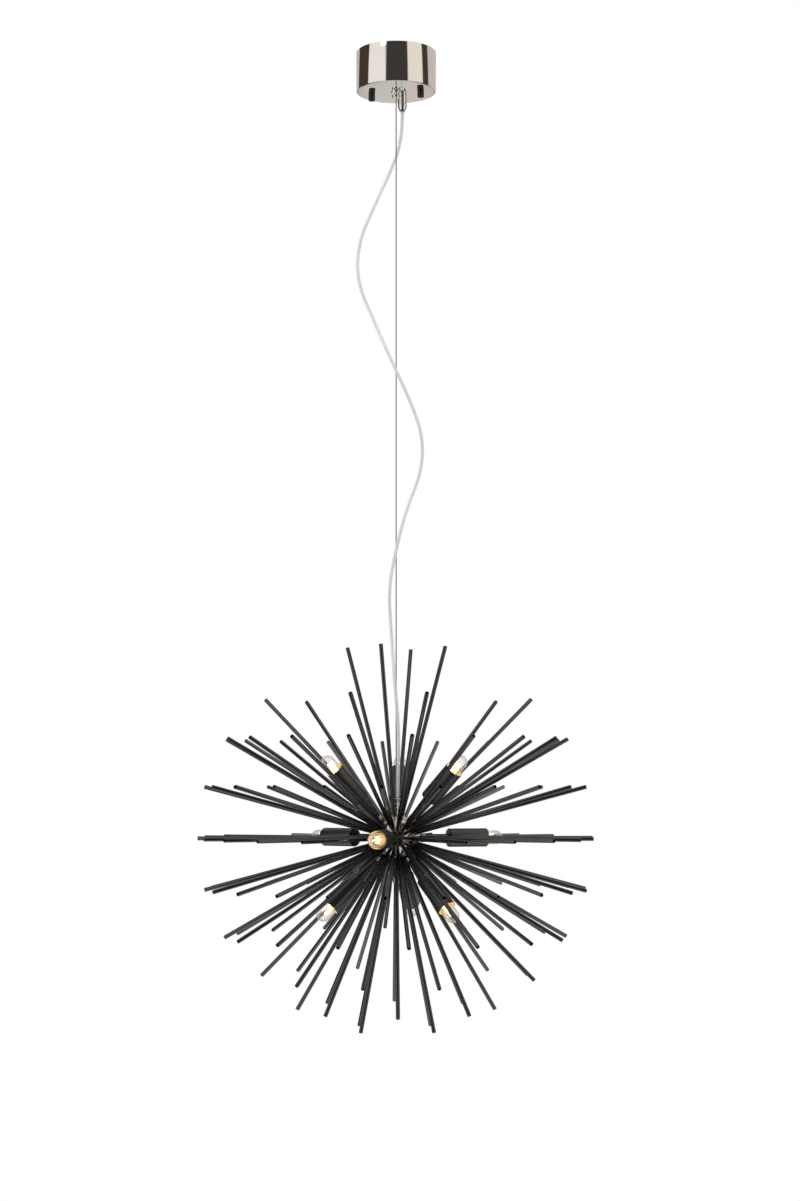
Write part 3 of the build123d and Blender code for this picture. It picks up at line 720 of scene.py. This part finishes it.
def fit(obj: Piece, finish: Finish, body: Body, nodes: Sequence[str] = ()) -> Piece:
    """Dress a finished piece and fix it to its body.

    Args:
        obj: the piece.
        finish: its finish.
        body: the body that carries it.
        nodes: the CAD nodes that it stands for.

    Returns:
        The piece.
    """
    dress(obj, finish)
    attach(obj, body.value)
    if nodes:
        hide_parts(*nodes)
    LOG.info("%s rides on %s", obj.name, body.value)
    return obj


def along(axis: Vector, origin: Vector) -> Matrix:
    """Place a piece turned round Z on a ray.

    Args:
        axis: the ray's direction.
        origin: its start.

    Returns:
        The placing matrix.
    """
    return Matrix.Translation(origin) @ axis.to_track_quat("Z", "Y").to_matrix().to_4x4()


def arc(
    middle: tuple[float, float], radii: tuple[float, float], turn: tuple[float, float], steps: int
) -> Profile:
    """Work out a round stretch of a profile.

    Args:
        middle: the radius and height of its centre.
        radii: how far it reaches along the radius and along the height.
        turn: its first and last angle in degrees, from the radius towards the height.
        steps: its number of runs.

    Returns:
        The points from the first angle to the last.
    """
    first, last = (math.radians(angle) for angle in turn)
    points = []
    for step in range(steps + 1):
        angle = first + (last - first) * step / steps
        points.append((middle[0] + radii[0] * math.cos(angle), middle[1] + radii[1] * math.sin(angle)))
    return points


def merged(name: str, nodes: Sequence[str]) -> Piece:
    """Copy CAD nodes into one mesh with shared corners and no needless edges.

    Args:
        name: the new object's name.
        nodes: the CAD nodes.

    Returns:
        The merged copy.
    """
    copies = [copy(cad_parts[node], f"{name}_{node}", Matrix.Identity(4)) for node in nodes]
    obj = joined(name, copies)
    flat_within = math.radians(0.5)
    unpack(obj)
    bpy.ops.mesh.remove_doubles(threshold=WELD)
    bpy.ops.mesh.dissolve_limited(angle_limit=flat_within)
    clear()
    return obj


def solids(node: str) -> list[Vector]:
    """Find the middle of each separate solid of a CAD node.

    Args:
        node: the node's name.

    Returns:
        The mean corner of each solid.
    """
    work = bmesh.new()
    work.from_mesh(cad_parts[node].data)
    bmesh.ops.remove_doubles(work, verts=work.verts, dist=WELD)
    middles: list[Vector] = []
    waiting = set(work.verts)
    while waiting:
        front = [waiting.pop()]
        part: list[Vector] = []
        while front:
            vertex = front.pop()
            part.append(vertex.co.copy())
            near = {edge.other_vert(vertex) for edge in vertex.link_edges} & waiting
            waiting -= near
            front.extend(near)
        middles.append(sum(part, Vector()) / len(part))
    work.free()
    return middles


def spread(pattern: Piece, name: str, node: str, centre: Vector, finish: Finish) -> None:
    """Set a copy of a piece along every solid of a CAD node, as one object on the star.

    Args:
        pattern: the piece, along Z.
        name: the object's name.
        node: the CAD node that it stands for.
        centre: the middle of the hub.
        finish: its finish.
    """
    copies = [
        copy(pattern, f"{name}_{number}", along((middle - centre).normalized(), centre))
        for number, middle in enumerate(solids(node))
    ]
    fit(joined(name, copies), finish, Body.STAR, [node])


# ---- ceiling


@dataclass
class CeilingFitting:
    """The polished cup with its nuts, the wire gripper's nose and the cord grip. Sizes are in millimetres."""

    radius: float = 50.0  # the cup's radius
    height: float = 50.0  # the cup's height
    wall: float = 1.0  # the cup's wall
    lip: float = 0.35  # the rounding of its upper edges
    edge: float = 1.3  # the rounding of its lower edge
    hole: float = 5.2  # radius of the hole for the gripper
    notch_width: float = 9.0  # width of the cable notch
    notch_depth: float = 6.5  # depth of the cable notch
    notch_turn: float = -109.0  # polar angle of the notch, in degrees
    nut_radius: float = 4.2  # radius of a thumb nut, to the crest of a rib
    nut_height: float = 8.5  # height of a thumb nut
    nut_ribs: int = 14  # ribs round a thumb nut

    def cup(self) -> None:
        """Turn the cup, cut its cable notch and keep its lips round."""
        inner, floor, lip, edge = self.radius - self.wall, self.wall - self.height, self.lip, self.edge
        corner = 0.6
        profile = [(self.hole, -self.height), (self.radius - edge, -self.height)]
        profile += arc((self.radius - edge, edge - self.height), (edge, edge), (-90, 0), 6)[1:]
        profile += arc((self.radius - lip, -lip), (lip, lip), (0, 90), 3)
        profile += arc((inner + lip, -lip), (lip, lip), (90, 180), 3)
        profile += [(inner, floor + corner), (inner - corner, floor), (self.hole, floor)]
        shell = turned("cup_shell", profile, sides=160, closed=True)
        clear()
        half = self.notch_width / 2 * MM
        bpy.ops.mesh.primitive_cylinder_add(vertices=40, radius=half, depth=8 * self.wall * MM)
        tool = bpy.context.object
        bpy.ops.object.mode_set(mode="EDIT")
        work = bmesh.from_edit_mesh(tool.data)
        for vertex in work.verts:
            vertex.select = vertex.co.x < -WELD
        work.select_flush_mode()
        bmesh.update_edit_mesh(tool.data)
        bpy.ops.transform.translate(value=(-2 * half, 0, 0))
        clear()
        turn = math.radians(self.notch_turn)
        middle = Vector((math.cos(turn), math.sin(turn), 0)) * self.radius * MM
        middle.z = half - self.notch_depth * MM
        lying = Matrix.Rotation(turn, 4, "Z") @ Matrix.Rotation(math.pi / 2, 4, "Y")
        settle(tool, Matrix.Translation(middle) @ lying)
        cut(shell, tool)
        smooth(shell, angle=40)
        fit(shell, NICKEL, Body.CEILING, ["canopy"])

    def thumb_nuts(self) -> None:
        """Knurl one nut and set a copy over each CAD nut."""
        clear()
        bpy.ops.mesh.primitive_circle_add(
            vertices=4 * self.nut_ribs, radius=self.nut_radius * MM, fill_type="NGON"
        )
        pattern = bpy.context.object
        bpy.ops.object.mode_set(mode="EDIT")
        work = bmesh.from_edit_mesh(pattern.data)
        for vertex in work.verts:
            vertex.select = vertex.index % 4 in (1, 2)
        bmesh.update_edit_mesh(pattern.data)
        groove, chamfer, shrink, rim, dent = 0.88, 0.4 * MM, 0.9, 1.1 * MM, 0.5 * MM
        bpy.ops.transform.resize(value=(groove, groove, 1), center_override=(0, 0, 0))
        bpy.ops.mesh.select_all(action="SELECT")
        bpy.ops.transform.resize(value=(shrink, shrink, 1), center_override=(0, 0, 0))
        height = 0.0
        side = self.nut_height * MM - 2 * chamfer
        for rise, ratio in ((chamfer, 1 / shrink), (side, 1.0), (chamfer, shrink)):
            height += rise
            bpy.ops.mesh.extrude_region_move(TRANSFORM_OT_translate={"value": (0, 0, rise)})
            bpy.ops.transform.resize(value=(ratio, ratio, 1), center_override=(0, 0, height))
        bpy.ops.mesh.inset(thickness=rim)
        bpy.ops.mesh.extrude_region_move(TRANSFORM_OT_translate={"value": (0, 0, -dent)})
        seal()
        for side in Side:
            node = f"thumb_nut_{side.value}"
            low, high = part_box(node)
            foot = Vector(((low.x + high.x) / 2, (low.y + high.y) / 2, high.z))
            piece = copy(pattern, f"knurled_nut_{side.value}", along(Vector((0, 0, -1)), foot))
            smooth(piece, angle=30)
            fit(piece, KNURLED_BLACK, Body(node), [node])
        bpy.data.objects.remove(pattern)

    def gripper(self) -> None:
        """Turn the wire gripper's body and its sprung nose on the wire's axis."""
        shell = [(2.7, -51.5), (6, -51.5), (6.3, -51.3), (6.4, -51), (6.4, -50), (5, -50), (5, -26)]
        shell += [(3.65, -26), (3.65, -46.5), (2.7, -46.5)]
        nose = [(0.95, -56.8), (1.2, -57.2)]
        nose += arc((4.7, -56.4), (0.8, 0.8), (-90, 0), 4)
        nose += arc((5.1, -54.6), (0.4, 0.4), (0, 90), 3)
        nose += [(2.6, -54.2), (2.6, -46.5), (3.5, -46.4), (3.5, -43.05), (0.95, -43.05)]
        for name, profile, body, node in (
            ("gripper_shell", shell, Body.CEILING, "gripper_body"),
            ("gripper_nose", nose, Body.PLUNGER, "gripper_plunger"),
        ):
            piece = turned(name, profile, closed=True)
            smooth(piece)
            fit(piece, CHROME, body, [node])

    def cord_grip(self) -> None:
        """Turn the cord grip's collar and its clamping cap on the cord's axis."""
        low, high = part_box("cord_grip_body")
        place = Matrix.Translation(((low.x + high.x) / 2, (low.y + high.y) / 2, 0))
        collar = [(2.45, -54.9), (5.6, -54.9), (5.95, -54.6), (5.95, -50), (5, -50), (5, -42), (2.45, -42)]
        cap = [(2.4, -65.7), (2.7, -66), (3.1, -66), (3.4, -65.6), (5.8, -60.4), (5.95, -59.8), (5.95, -55.4)]
        cap += [(5.6, -55), (2.4, -55)]
        for name, profile in (("cord_grip_body", collar), ("cord_grip_cap", cap)):
            piece = turned(f"{name}_turned", profile, closed=True)
            settle(piece, place)
            smooth(piece)
            fit(piece, CHROME, Body.CEILING, [name])

    def build(self) -> None:
        """Build the cup, its nuts, the gripper and the cord grip."""
        self.cup()
        self.thumb_nuts()
        self.gripper()
        self.cord_grip()


# ---- wire and cable


@dataclass
class HangingLines:
    """The steel wire and the clear cable beside it. Sizes are in millimetres."""

    wire_radius: float = 0.75  # the wire's radius
    wire_ends: tuple[float, float] = (-58.0, -942.6)  # the heights of its ends
    cable_radius: float = 2.25  # the cable's radius
    core_radius: float = 0.78  # radius of one core inside the sheath
    core_twist: float = 420.0  # length of one turn of the cores
    route: Sequence[Spot] = (  # the cable's points, from the cord grip to the star's gland
        (8.01, 30.98, -66.8), (8.0, 29.5, -102.0), (-7.0, 25.0, -144.0), (-28.0, 18.0, -190.0),
        (-48.0, 9.5, -238.0), (-50.0, 1.0, -289.0), (-29.0, -7.0, -339.0), (-7.0, -13.0, -390.0),
        (16.0, -16.0, -439.0), (34.0, -15.0, -487.0), (32.0, -12.0, -533.0), (13.0, -8.5, -578.0),
        (0.0, -6.5, -628.0), (-10.0, -4.5, -680.0), (-6.0, -4.0, -735.0), (-2.0, -4.0, -796.0),
        (3.5, -3.0, -857.0), (2.6, -2.3, -905.0), (2.26, -2.26, -942.6),
    )

    @staticmethod
    def curve(name: str, points: Sequence[Vector], radius: float) -> Piece:
        """Lay one smooth cord.

        Args:
            name: the cord's name.
            points: its control points, in metres.
            radius: its radius, in metres.

        Returns:
            The cord.
        """
        data = bpy.data.curves.new(name, "CURVE")
        data.dimensions = "3D"
        spline = data.splines.new("NURBS")
        spline.points.add(len(points) - 1)
        for control, point in zip(spline.points, points):
            control.co = (*point, 1.0)
        spline.order_u = 3
        spline.use_endpoint_u = True
        spline.resolution_u = 16
        spline.use_smooth = True
        data.bevel_depth = radius
        data.bevel_resolution = 5
        data.use_fill_caps = True
        obj = bpy.data.objects.new(name, data)
        bpy.context.scene.collection.objects.link(obj)
        return obj

    @staticmethod
    def centreline(cord: Piece) -> list[Vector]:
        """Read the points along a cord's own spline.

        Args:
            cord: the cord.

        Returns:
            The points, both ends included.
        """
        radius = cord.data.bevel_depth
        cord.data.bevel_depth = 0.0
        bpy.context.view_layer.update()
        mesh = bpy.data.meshes.new_from_object(cord.evaluated_get(bpy.context.evaluated_depsgraph_get()))
        points = [vertex.co.copy() for vertex in mesh.vertices]
        bpy.data.meshes.remove(mesh)
        cord.data.bevel_depth = radius
        return points

    @staticmethod
    def tube(cord: Piece) -> Piece:
        """Make a cord's curve a closed mesh.

        Args:
            cord: the cord.

        Returns:
            The mesh tube.
        """
        pick(cord)
        bpy.ops.object.convert(target="MESH")
        obj = bpy.context.object
        unpack(obj)
        seal()
        smooth(obj, angle=50)
        return obj

    def cores(self, line: Sequence[Vector]) -> list[Piece]:
        """Twist two insulated cores round the cable's own line.

        Args:
            line: points along the cable's own spline.

        Returns:
            The cores.
        """
        clear_of_axis = 1.08
        orbit = self.core_radius * clear_of_axis * MM
        made = []
        for number, finish in enumerate((CORE_WHITE, CORE_TIN)):
            travelled, points = 0.0, []
            for place, point in enumerate(line):
                ahead = line[min(place + 1, len(line) - 1)] - line[max(place - 1, 0)]
                travelled += (point - line[max(place - 1, 0)]).length
                side = ahead.cross(Vector((0, 1, 0))).normalized()
                lift = side.cross(ahead).normalized()
                turn = math.tau * (travelled / (self.core_twist * MM) + number / 2)
                points.append(point + orbit * (math.cos(turn) * side + math.sin(turn) * lift))
            core = self.curve(f"cable_core_{number + 1}", points, self.core_radius * MM)
            core.data.splines[0].resolution_u = 4
            core.data.bevel_resolution = 2
            made.append(fit(self.tube(core), finish, Body.LINE))
        return made

    def build(self) -> None:
        """Lay the wire and the cable, and twist the cable's cores inside it."""
        top, bottom = (end * MM for end in self.wire_ends)
        points = [Vector((0, 0, top + (bottom - top) * step / 4)) for step in range(5)]
        curve = self.curve("steel_wire", points, self.wire_radius * MM)
        line = self.centreline(curve)
        wire = fit(self.tube(curve), STRAND, Body.LINE, ["suspension_wire"])
        route = [Vector(point) * MM for point in self.route]
        curve = self.curve("clear_cable", route, self.cable_radius * MM)
        line = self.centreline(curve)
        cable = fit(self.tube(curve), SHEATH, Body.LINE, ["supply_cable"])
        cores = self.cores(line[:-1:4] + [line[-1]])


# ---- star


@dataclass
class Star:
    """The faceted hub, its tubes, its gland and its finial. Sizes are in millimetres."""

    centre: Vector  # the middle of the hub, in metres
    hub_radius: float = 30.0  # from the middle to a tube's foot
    hub_edge: float = 0.22  # width of the bevel between two flats
    reach: float = 250.6  # from the middle to a tube's tip
    rod_radius: float = 2.6  # a thin tube's radius
    rod_bore: float = 1.9  # the radius of its bore
    rod_sides: int = 12  # flats round a thin tube

    def hub(self) -> None:
        """Bevel the merged CAD shells, so that every flat has a bright edge."""
        shells = ["hub_upper", "hub_ring", "hub_lower"]
        obj = merged("faceted_hub", shells)
        bevel(obj, self.hub_edge * MM, 8.0)
        fit(obj, BLACK_CHROME, Body.STAR, shells)

    def rods(self) -> None:
        """Turn one thin tube with an open chamfered tip, and set a copy along every CAD tube."""
        outer, bore, foot, tip = self.rod_radius, self.rod_bore, self.hub_radius - 1, self.reach
        profile = [(bore, foot), (outer, foot), (outer, tip - 0.3), (outer - 0.25, tip), (bore, tip)]
        pattern = turned("rod", profile, self.rod_sides, closed=True)
        smooth(pattern, angle=40)
        for node in ("rods_crown_upper", "rods_upper", "rods_equator", "rods_lower", "rods_crown_lower"):
            spread(pattern, f"tubes_{node}", node, self.centre, GLOSS_BLACK)
        bpy.data.objects.remove(pattern)

    def fittings(self) -> None:
        """Turn the gland on top and the finial below, with heights from the middle of the hub."""
        body = [(2.5, 29.6), (4.3, 29.6), (4.7, 29.9), (4.7, 31.4), (4.3, 31.7), (4.3, 32.5), (4.7, 32.8)]
        body += [(4.7, 35.3), (5.6, 35.6), (6.1, 35.7), (6.3, 36.1), (6.3, 38.6), (6.05, 38.9), (6.05, 39.5)]
        body += [(6.3, 39.8), (6.3, 43.6), (5.9, 44), (4.5, 44), (4.5, 35.6), (2.5, 35.6)]
        cap = [(0.8, 44.1), (5.5, 44.1), (5.75, 44.3), (5.75, 46.2), (5.4, 46.5), (5.4, 47.1), (5.75, 47.4)]
        cap += arc((4.75, 49.5), (1.0, 1.0), (0, 90), 5) + [(0.8, 50.5)]
        finial = [(3.5, -29.6), (4.3, -29.6), (4.7, -29.9), (4.7, -35), (5.5, -35.5), (5.9, -35.9)]
        finial += [(5.9, -48.2), (5.7, -48.9), (3.6, -57.1), (3.1, -57.5), (0.4, -57.6)]
        finial += [(0.4, -34.6), (3.5, -34.6)]
        for name, profile, finish, node in (
            ("gland_shell", body, CHROME, "gland_body"),
            ("gland_top", cap, CHROME, "gland_cap"),
            ("finial_turned", finial, BLACK_CHROME, "finial"),
        ):
            piece = turned(name, profile, sides=64, closed=True)
            settle(piece, Matrix.Translation(self.centre))
            smooth(piece)
            fit(piece, finish, Body.STAR, [node])

    def build(self) -> None:
        """Build the hub, the tubes and the fittings."""
        self.hub()
        self.rods()
        self.fittings()


@dataclass
class Lamps:
    """The nine lamps, turned once and copied. Distances run from the middle of the hub, in millimetres."""

    centre: Vector  # the middle of the hub, in metres
    sides: int = 48  # flats round each piece
    mouth: float = 122.0  # the sleeve's open end
    face: float = 103.5  # the lampholder's front face
    tip: float = 143.9  # the glass's tip
    # the arm, a plain tube let into the hub
    arm: Profile = ((3.5, 24), (4.95, 24), (4.95, 69.9), (3.5, 69.9))
    collar: Profile = (  # the stepped collar at the foot of an arm
        (4.98, 33), (5.4, 33), (5.75, 33.3), (5.75, 34.6), (5.4, 34.9), (5.25, 35.1), (5.25, 35.5),
        (5.5, 35.7), (5.6, 36), (5.6, 37.2), (5.4, 37.7), (4.98, 38),
    )
    stem: Profile = (  # the pressed glass stem that carries the filaments
        (0.2, 104.2), (6, 104.2), (6, 105), (3.4, 108), (2.1, 112), (1.7, 121), (2.1, 123.5),
        (1.5, 125), (0.2, 125.4),
    )

    def sleeve(self) -> Piece:
        """Turn the sleeve, a cup with a rounded mouth, and mark the part of its inner wall that gets painted
        light from its bulb.

        Returns:
            The sleeve.
        """
        lip = 0.45
        profile = [(3.5, 70), (10.6, 70)]
        profile += arc((10.6, 71.2), (1.2, 1.2), (-90, 0), 5)[1:]
        profile += arc((11.8 - lip, self.mouth - lip), (lip, lip), (0, 180), 8)
        profile += [(10.9, 71.5), (3.5, 71.5)]
        made = turned("sleeve", profile, self.sides, closed=True)
        # the 'lit' attribute marks where the sleeve gets painted light from its bulb
        lit = made.data.attributes.new("lit", "FLOAT", "POINT")
        for vertex in made.data.vertices:
            inside = math.hypot(vertex.co.x, vertex.co.y) < 11.1 * MM
            lit.data[vertex.index].value = float(inside and vertex.co.z > (self.mouth - 1) * MM)
        return made

    def holder(self) -> Piece:
        """Turn the lampholder, with a stepped face and a threaded well.

        Returns:
            The lampholder.
        """
        profile = [(0.2, 71.5), (10, 71.5), (10, 96), (9.5, 96.4), (9.5, 98), (10, 98.4), (10, 102.8)]
        profile += [(9.6, 103.4), (8.2, self.face), (7.6, 103.2), (7.25, 102.6)]
        profile += [(7.25 + 0.3 * (turn % 2), 101.5 - 1.2 * turn) for turn in range(12)]
        profile += [(7.25, 85.6), (0.2, 85.6)]
        return turned("holder", profile, self.sides)

    def cap(self) -> Piece:
        """Turn the bulb's cap: a contact, an insulator's cone and a rolled thread.

        Returns:
            The cap.
        """
        profile = [(0.2, 85.7), (2.4, 85.7), (2.7, 86), (2.7, 86.9), (3.2, 87), (6.2, 89)]
        profile += [(6.9 - 0.55 * (turn % 2), 90 + 0.9 * turn) for turn in range(12)]
        profile += [(6.9, 101.2), (6.9, 103.6), (6.5, 104.1), (0.2, 104.1)]
        return turned("cap", profile, self.sides)

    def glass(self) -> Piece:
        """Turn the thin glass: a neck, a straight wall and a domed tip, as a closed shell.

        Returns:
            The glass.
        """
        wall, bulge, dome = 0.5, 9.0, 9.6
        outer = arc((0, self.tip - dome), (bulge, dome), (88.5, 0), 16)
        outer += arc((bulge - 2.4, 110.5), (2.4, 4.4), (0, -80), 6) + [(6.7, 104.3)]
        inner = [(6.7 - wall, 104.3)] + arc((bulge - 2.4, 110.5), (2.4 - wall, 4.0), (-80, 0), 6)
        inner += arc((0, self.tip - dome), (bulge - wall, dome - wall), (0, 88.5), 16)
        return turned("glass", outer + inner, self.sides)

    def filaments(self) -> Piece:
        """Stand four bright filaments round the stem.

        Returns:
            The filaments, as one object.
        """
        thread = turned("thread", [(0.2, 111), (0.65, 111.4), (0.65, 132.6), (0.2, 133)], 10)
        copies = []
        for number in range(4):
            turn = math.tau * number / 4
            lean = Matrix.Rotation(math.radians(4 * (1 - 2 * (number % 2))), 4, "X")
            orbit = Matrix.Translation((3.4 * MM * math.cos(turn), 3.4 * MM * math.sin(turn), 0))
            middle = Matrix.Translation((0, 0, 121.5 * MM))
            copies.append(copy(thread, f"thread_{number}", orbit @ middle @ lean @ middle.inverted()))
        bpy.data.objects.remove(thread)
        return joined("filaments", copies)

    def build(self) -> None:
        """Turn each piece once, copy it to its lamps and fix the bulbs' pieces to their own bodies."""
        arm = turned("arm", self.arm, self.sides, closed=True)
        collar = turned("collar", self.collar, self.sides, closed=True)
        sleeve, holder = self.sleeve(), self.holder()
        bulb = (
            ("cap", self.cap(), BULB_METAL, Slot.CAP, True),
            ("glass", self.glass(), GLASS, Slot.GLASS, True),
            # the stem's glow is painted light
            ("stem", turned("stem", self.stem, self.sides // 2), STEM, Slot.GLASS, False),
            ("filaments", self.filaments(), FILAMENT, Slot.GLASS, False),
        )
        patterns = [arm, collar, sleeve, holder] + [row[1] for row in bulb]
        for pattern in patterns:
            smooth(pattern, angle=35)
        sets = [
            (arm, "arm_tubes", "lamp_arms", GLOSS_BLACK, Slot.TUBE),
            (collar, "stepped_collars", "arm_collars", BLACK_CHROME, Slot.BLACK_CHROME),
        ]
        for level in Level:
            names = f"sleeves_{level.value}", f"lamp_sleeves_{level.value}"
            sets.append((sleeve, *names, SATIN_BLACK, Slot.SLEEVE))
        sets.append((holder, "socket_set", "lampholders", SOCKET_BLACK, Slot.HOLDER))
        for pattern, name, node, finish, slot in sets:
            spread(pattern, name, node, self.centre, finish)
        for number in range(1, 10):
            axis = (solids(f"bulb_{number}_cap")[0] - self.centre).normalized()
            for kind, pattern, finish, slot, in_cad in bulb:
                piece = copy(pattern, f"lamp_{number}_{kind}", along(axis, self.centre))
                nodes = [f"bulb_{number}_{kind}"] if in_cad else []
                fit(piece, finish, Body(f"bulb_{number}"), nodes)
        for pattern in patterns:
            bpy.data.objects.remove(pattern)


# ---- studio


@dataclass
class Studio:
    """The camera, the surroundings, the soft lights and the floor. Distances are in metres."""

    camera_place: Spot = (0.0, -3.014, -0.93)  # where the camera stands
    lens: float = 71.37  # its focal length, in millimetres
    # how far the picture is shifted, as shares of its long side
    shift: tuple[float, float] = (0.0032, 0.1557)
    # what polished metal sees round the horizon: degrees from the viewer, and colour
    bands: Sequence[tuple[float, Colour]] = (
        (-180, (0.62, 0.6, 0.58)),
        (-176, (0.07, 0.065, 0.06)),
        (-164, (0.6, 0.57, 0.54)),
        (-139, (0.062, 0.042, 0.034)),
        (-88, (0.93, 0.92, 0.9)),
        (-30, (0.05, 0.045, 0.045)),
        (34, (0.88, 0.86, 0.76)),
        (83, (0.055, 0.048, 0.035)),
        (107, (0.62, 0.57, 0.54)),
        (166, (0.07, 0.065, 0.06)),
        (176, (0.66, 0.6, 0.57)),
    )
    band_edge: float = 3.0  # width of the soft edge between two bands, in degrees
    # what it sees lower and higher: elevation in degrees, how much it hides the bands, and colour
    zones: Sequence[tuple[float, float, Colour]] = (
        (-90, 1.0, (0.6, 0.58, 0.56)),
        (-66, 1.0, (0.6, 0.58, 0.56)),
        (-60, 1.0, (0.05, 0.045, 0.04)),
        (-34, 1.0, (0.05, 0.045, 0.04)),
        (-30, 0.0, (0.05, 0.045, 0.04)),
        (50, 0.0, (0.72, 0.71, 0.7)),
        (60, 1.0, (0.72, 0.71, 0.7)),
    )
    ambient: float = 0.75  # the grey that surfaces without polish are lit by
    # name, place, side and power in watts of each soft light
    softboxes: Sequence[tuple[str, Spot, float, float]] = (
        ("softbox_left", (-2.2, -1.8, 0.6), 1.4, 38.0),
        ("softbox_right", (2.4, -1.2, 0.2), 1.2, 16.0),
    )
    aim_height: float = -0.9  # the height that the soft lights face
    floor_height: float = -2.6  # height of the floor
    floor_side: float = 3.2  # its side

    def camera(self) -> None:
        """Set up the camera of the photograph."""
        data = bpy.data.cameras.new("camera")
        data.lens = self.lens
        data.sensor_width = 36.0
        data.shift_x, data.shift_y = self.shift
        obj = bpy.data.objects.new("camera", data)
        obj.location = self.camera_place
        obj.rotation_euler = (math.pi / 2, 0, 0)
        bpy.context.scene.collection.objects.link(obj)
        bpy.context.scene.camera = obj

    def stops(self) -> list[tuple[float, Colour]]:
        """Turn the bands into a colour ramp's stops, with a soft edge between two bands.

        Returns:
            Each stop's place, from 0 to 1, and colour.
        """
        places = []
        half = self.band_edge / 2 / 360
        before = self.bands[-1][1]
        for start, colour in self.bands:
            middle = (start + 180) / 360
            places += [(max(middle - half, 0.0), before), (min(middle + half, 1.0), colour)]
            before = colour
        return places[1:]

    def world(self) -> None:
        """Light the scene evenly, white to the camera and banded to polished metal."""
        world = bpy.data.worlds.new("studio")
        bpy.context.scene.world = world
        world.use_nodes = True
        world.cycles.sampling_method = "NONE"
        board = Board(world.node_tree)
        path = board.node("ShaderNodeLightPath", {}, {})
        towards = board.node("ShaderNodeTexCoord", {}, {})["Generated"]
        parts = board.node("ShaderNodeSeparateXYZ", {}, {"Vector": towards})
        round_horizon = parts["X"].angle(parts["Y"] * -1.0) / math.tau + 0.5
        ramp = board.node("ShaderNodeValToRGB", {"stops": self.stops()}, {"Fac": round_horizon})["Color"]
        height = parts["Z"] * 0.5 + 0.5
        places = [math.sin(math.radians(angle)) * 0.5 + 0.5 for angle, hides, colour in self.zones]
        shares = [(hides, hides, hides) for angle, hides, colour in self.zones]
        hiding = {"stops": list(zip(places, shares))}
        tones = {"stops": list(zip(places, [colour for angle, hides, colour in self.zones]))}
        hidden = board.node("ShaderNodeValToRGB", hiding, {"Fac": height})["Color"]
        zone = board.node("ShaderNodeValToRGB", tones, {"Fac": height})["Color"]
        seen = board.blend(hidden, ramp, zone)
        seen = board.blend(path["Is Glossy Ray"], (self.ambient,) * 3, seen)
        direct = (path["Is Camera Ray"] + path["Is Transmission Ray"]).clamped()
        colour = board.blend(direct, seen, (1.0, 1.0, 1.0))
        light = board.node("ShaderNodeBackground", {}, {"Color": colour, "Strength": 1.0})["Background"]
        board.node("ShaderNodeOutputWorld", {}, {"Surface": light})

    def softbox(self, name: str, place: Spot, size: float, power: float) -> None:
        """Hang one soft square light that faces the object and shows in no reflection.

        Args:
            name: the light's name.
            place: where it hangs.
            size: its side.
            power: its power in watts.
        """
        data = bpy.data.lights.new(name, "AREA")
        data.size = size
        data.energy = power
        obj = bpy.data.objects.new(name, data)
        obj.visible_glossy = False
        obj.location = place
        aim = Vector((0, 0, self.aim_height)) - Vector(place)
        obj.rotation_euler = aim.to_track_quat("-Z", "Y").to_euler()
        bpy.context.scene.collection.objects.link(obj)

    def floor(self) -> None:
        """Lay a plain pale floor well below the light."""
        clear()
        bpy.ops.mesh.primitive_plane_add(size=self.floor_side, location=(0, 0, self.floor_height))
        obj = bpy.context.object
        obj.name = "floor"
        dress(obj, FLOOR)

    def build(self) -> None:
        """Set up everything round the object."""
        bpy.context.scene.view_settings.view_transform = "Standard"
        self.camera()
        self.world()
        for name, place, size, power in self.softboxes:
            self.softbox(name, place, size, power)
        self.floor()


def dress_frame() -> None:
    """Give every CAD node that still shows its own finish."""
    finishes = (
        (ZINC, ("ceiling_bracket", "bracket_studs", "stud_nuts", "gripper_nut", "cord_grip_nut")),
        (BRASS, ("earth_screw", "terminal_screws")),
        (CHROME, ("gripper_cap",)),
        (SPRING, ("gripper_spring", "gripper_balls", "centre_tube")),
        (STRAND, ("wire_tail", "wire_ferrule")),
        (SHEATH_CUT, ("cable_tail",)),
        (WHITE_PLASTIC, ("terminal_block",)),
    )
    for finish, nodes in finishes:
        for node in nodes:
            dress(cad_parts[node], finish)
            LOG.info("%s: %s", node, finish.name)


def main() -> None:
    """Build the chandelier."""
    logging.basicConfig(level=logging.INFO, format="%(message)s")
    low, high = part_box("centre_tube")
    centre = (low + high) / 2
    Studio().build()
    HangingLines().build()
    CeilingFitting().build()
    Star(centre).build()
    Lamps(centre).build()
    dress_frame()


if __name__ == "__main__":
    main()
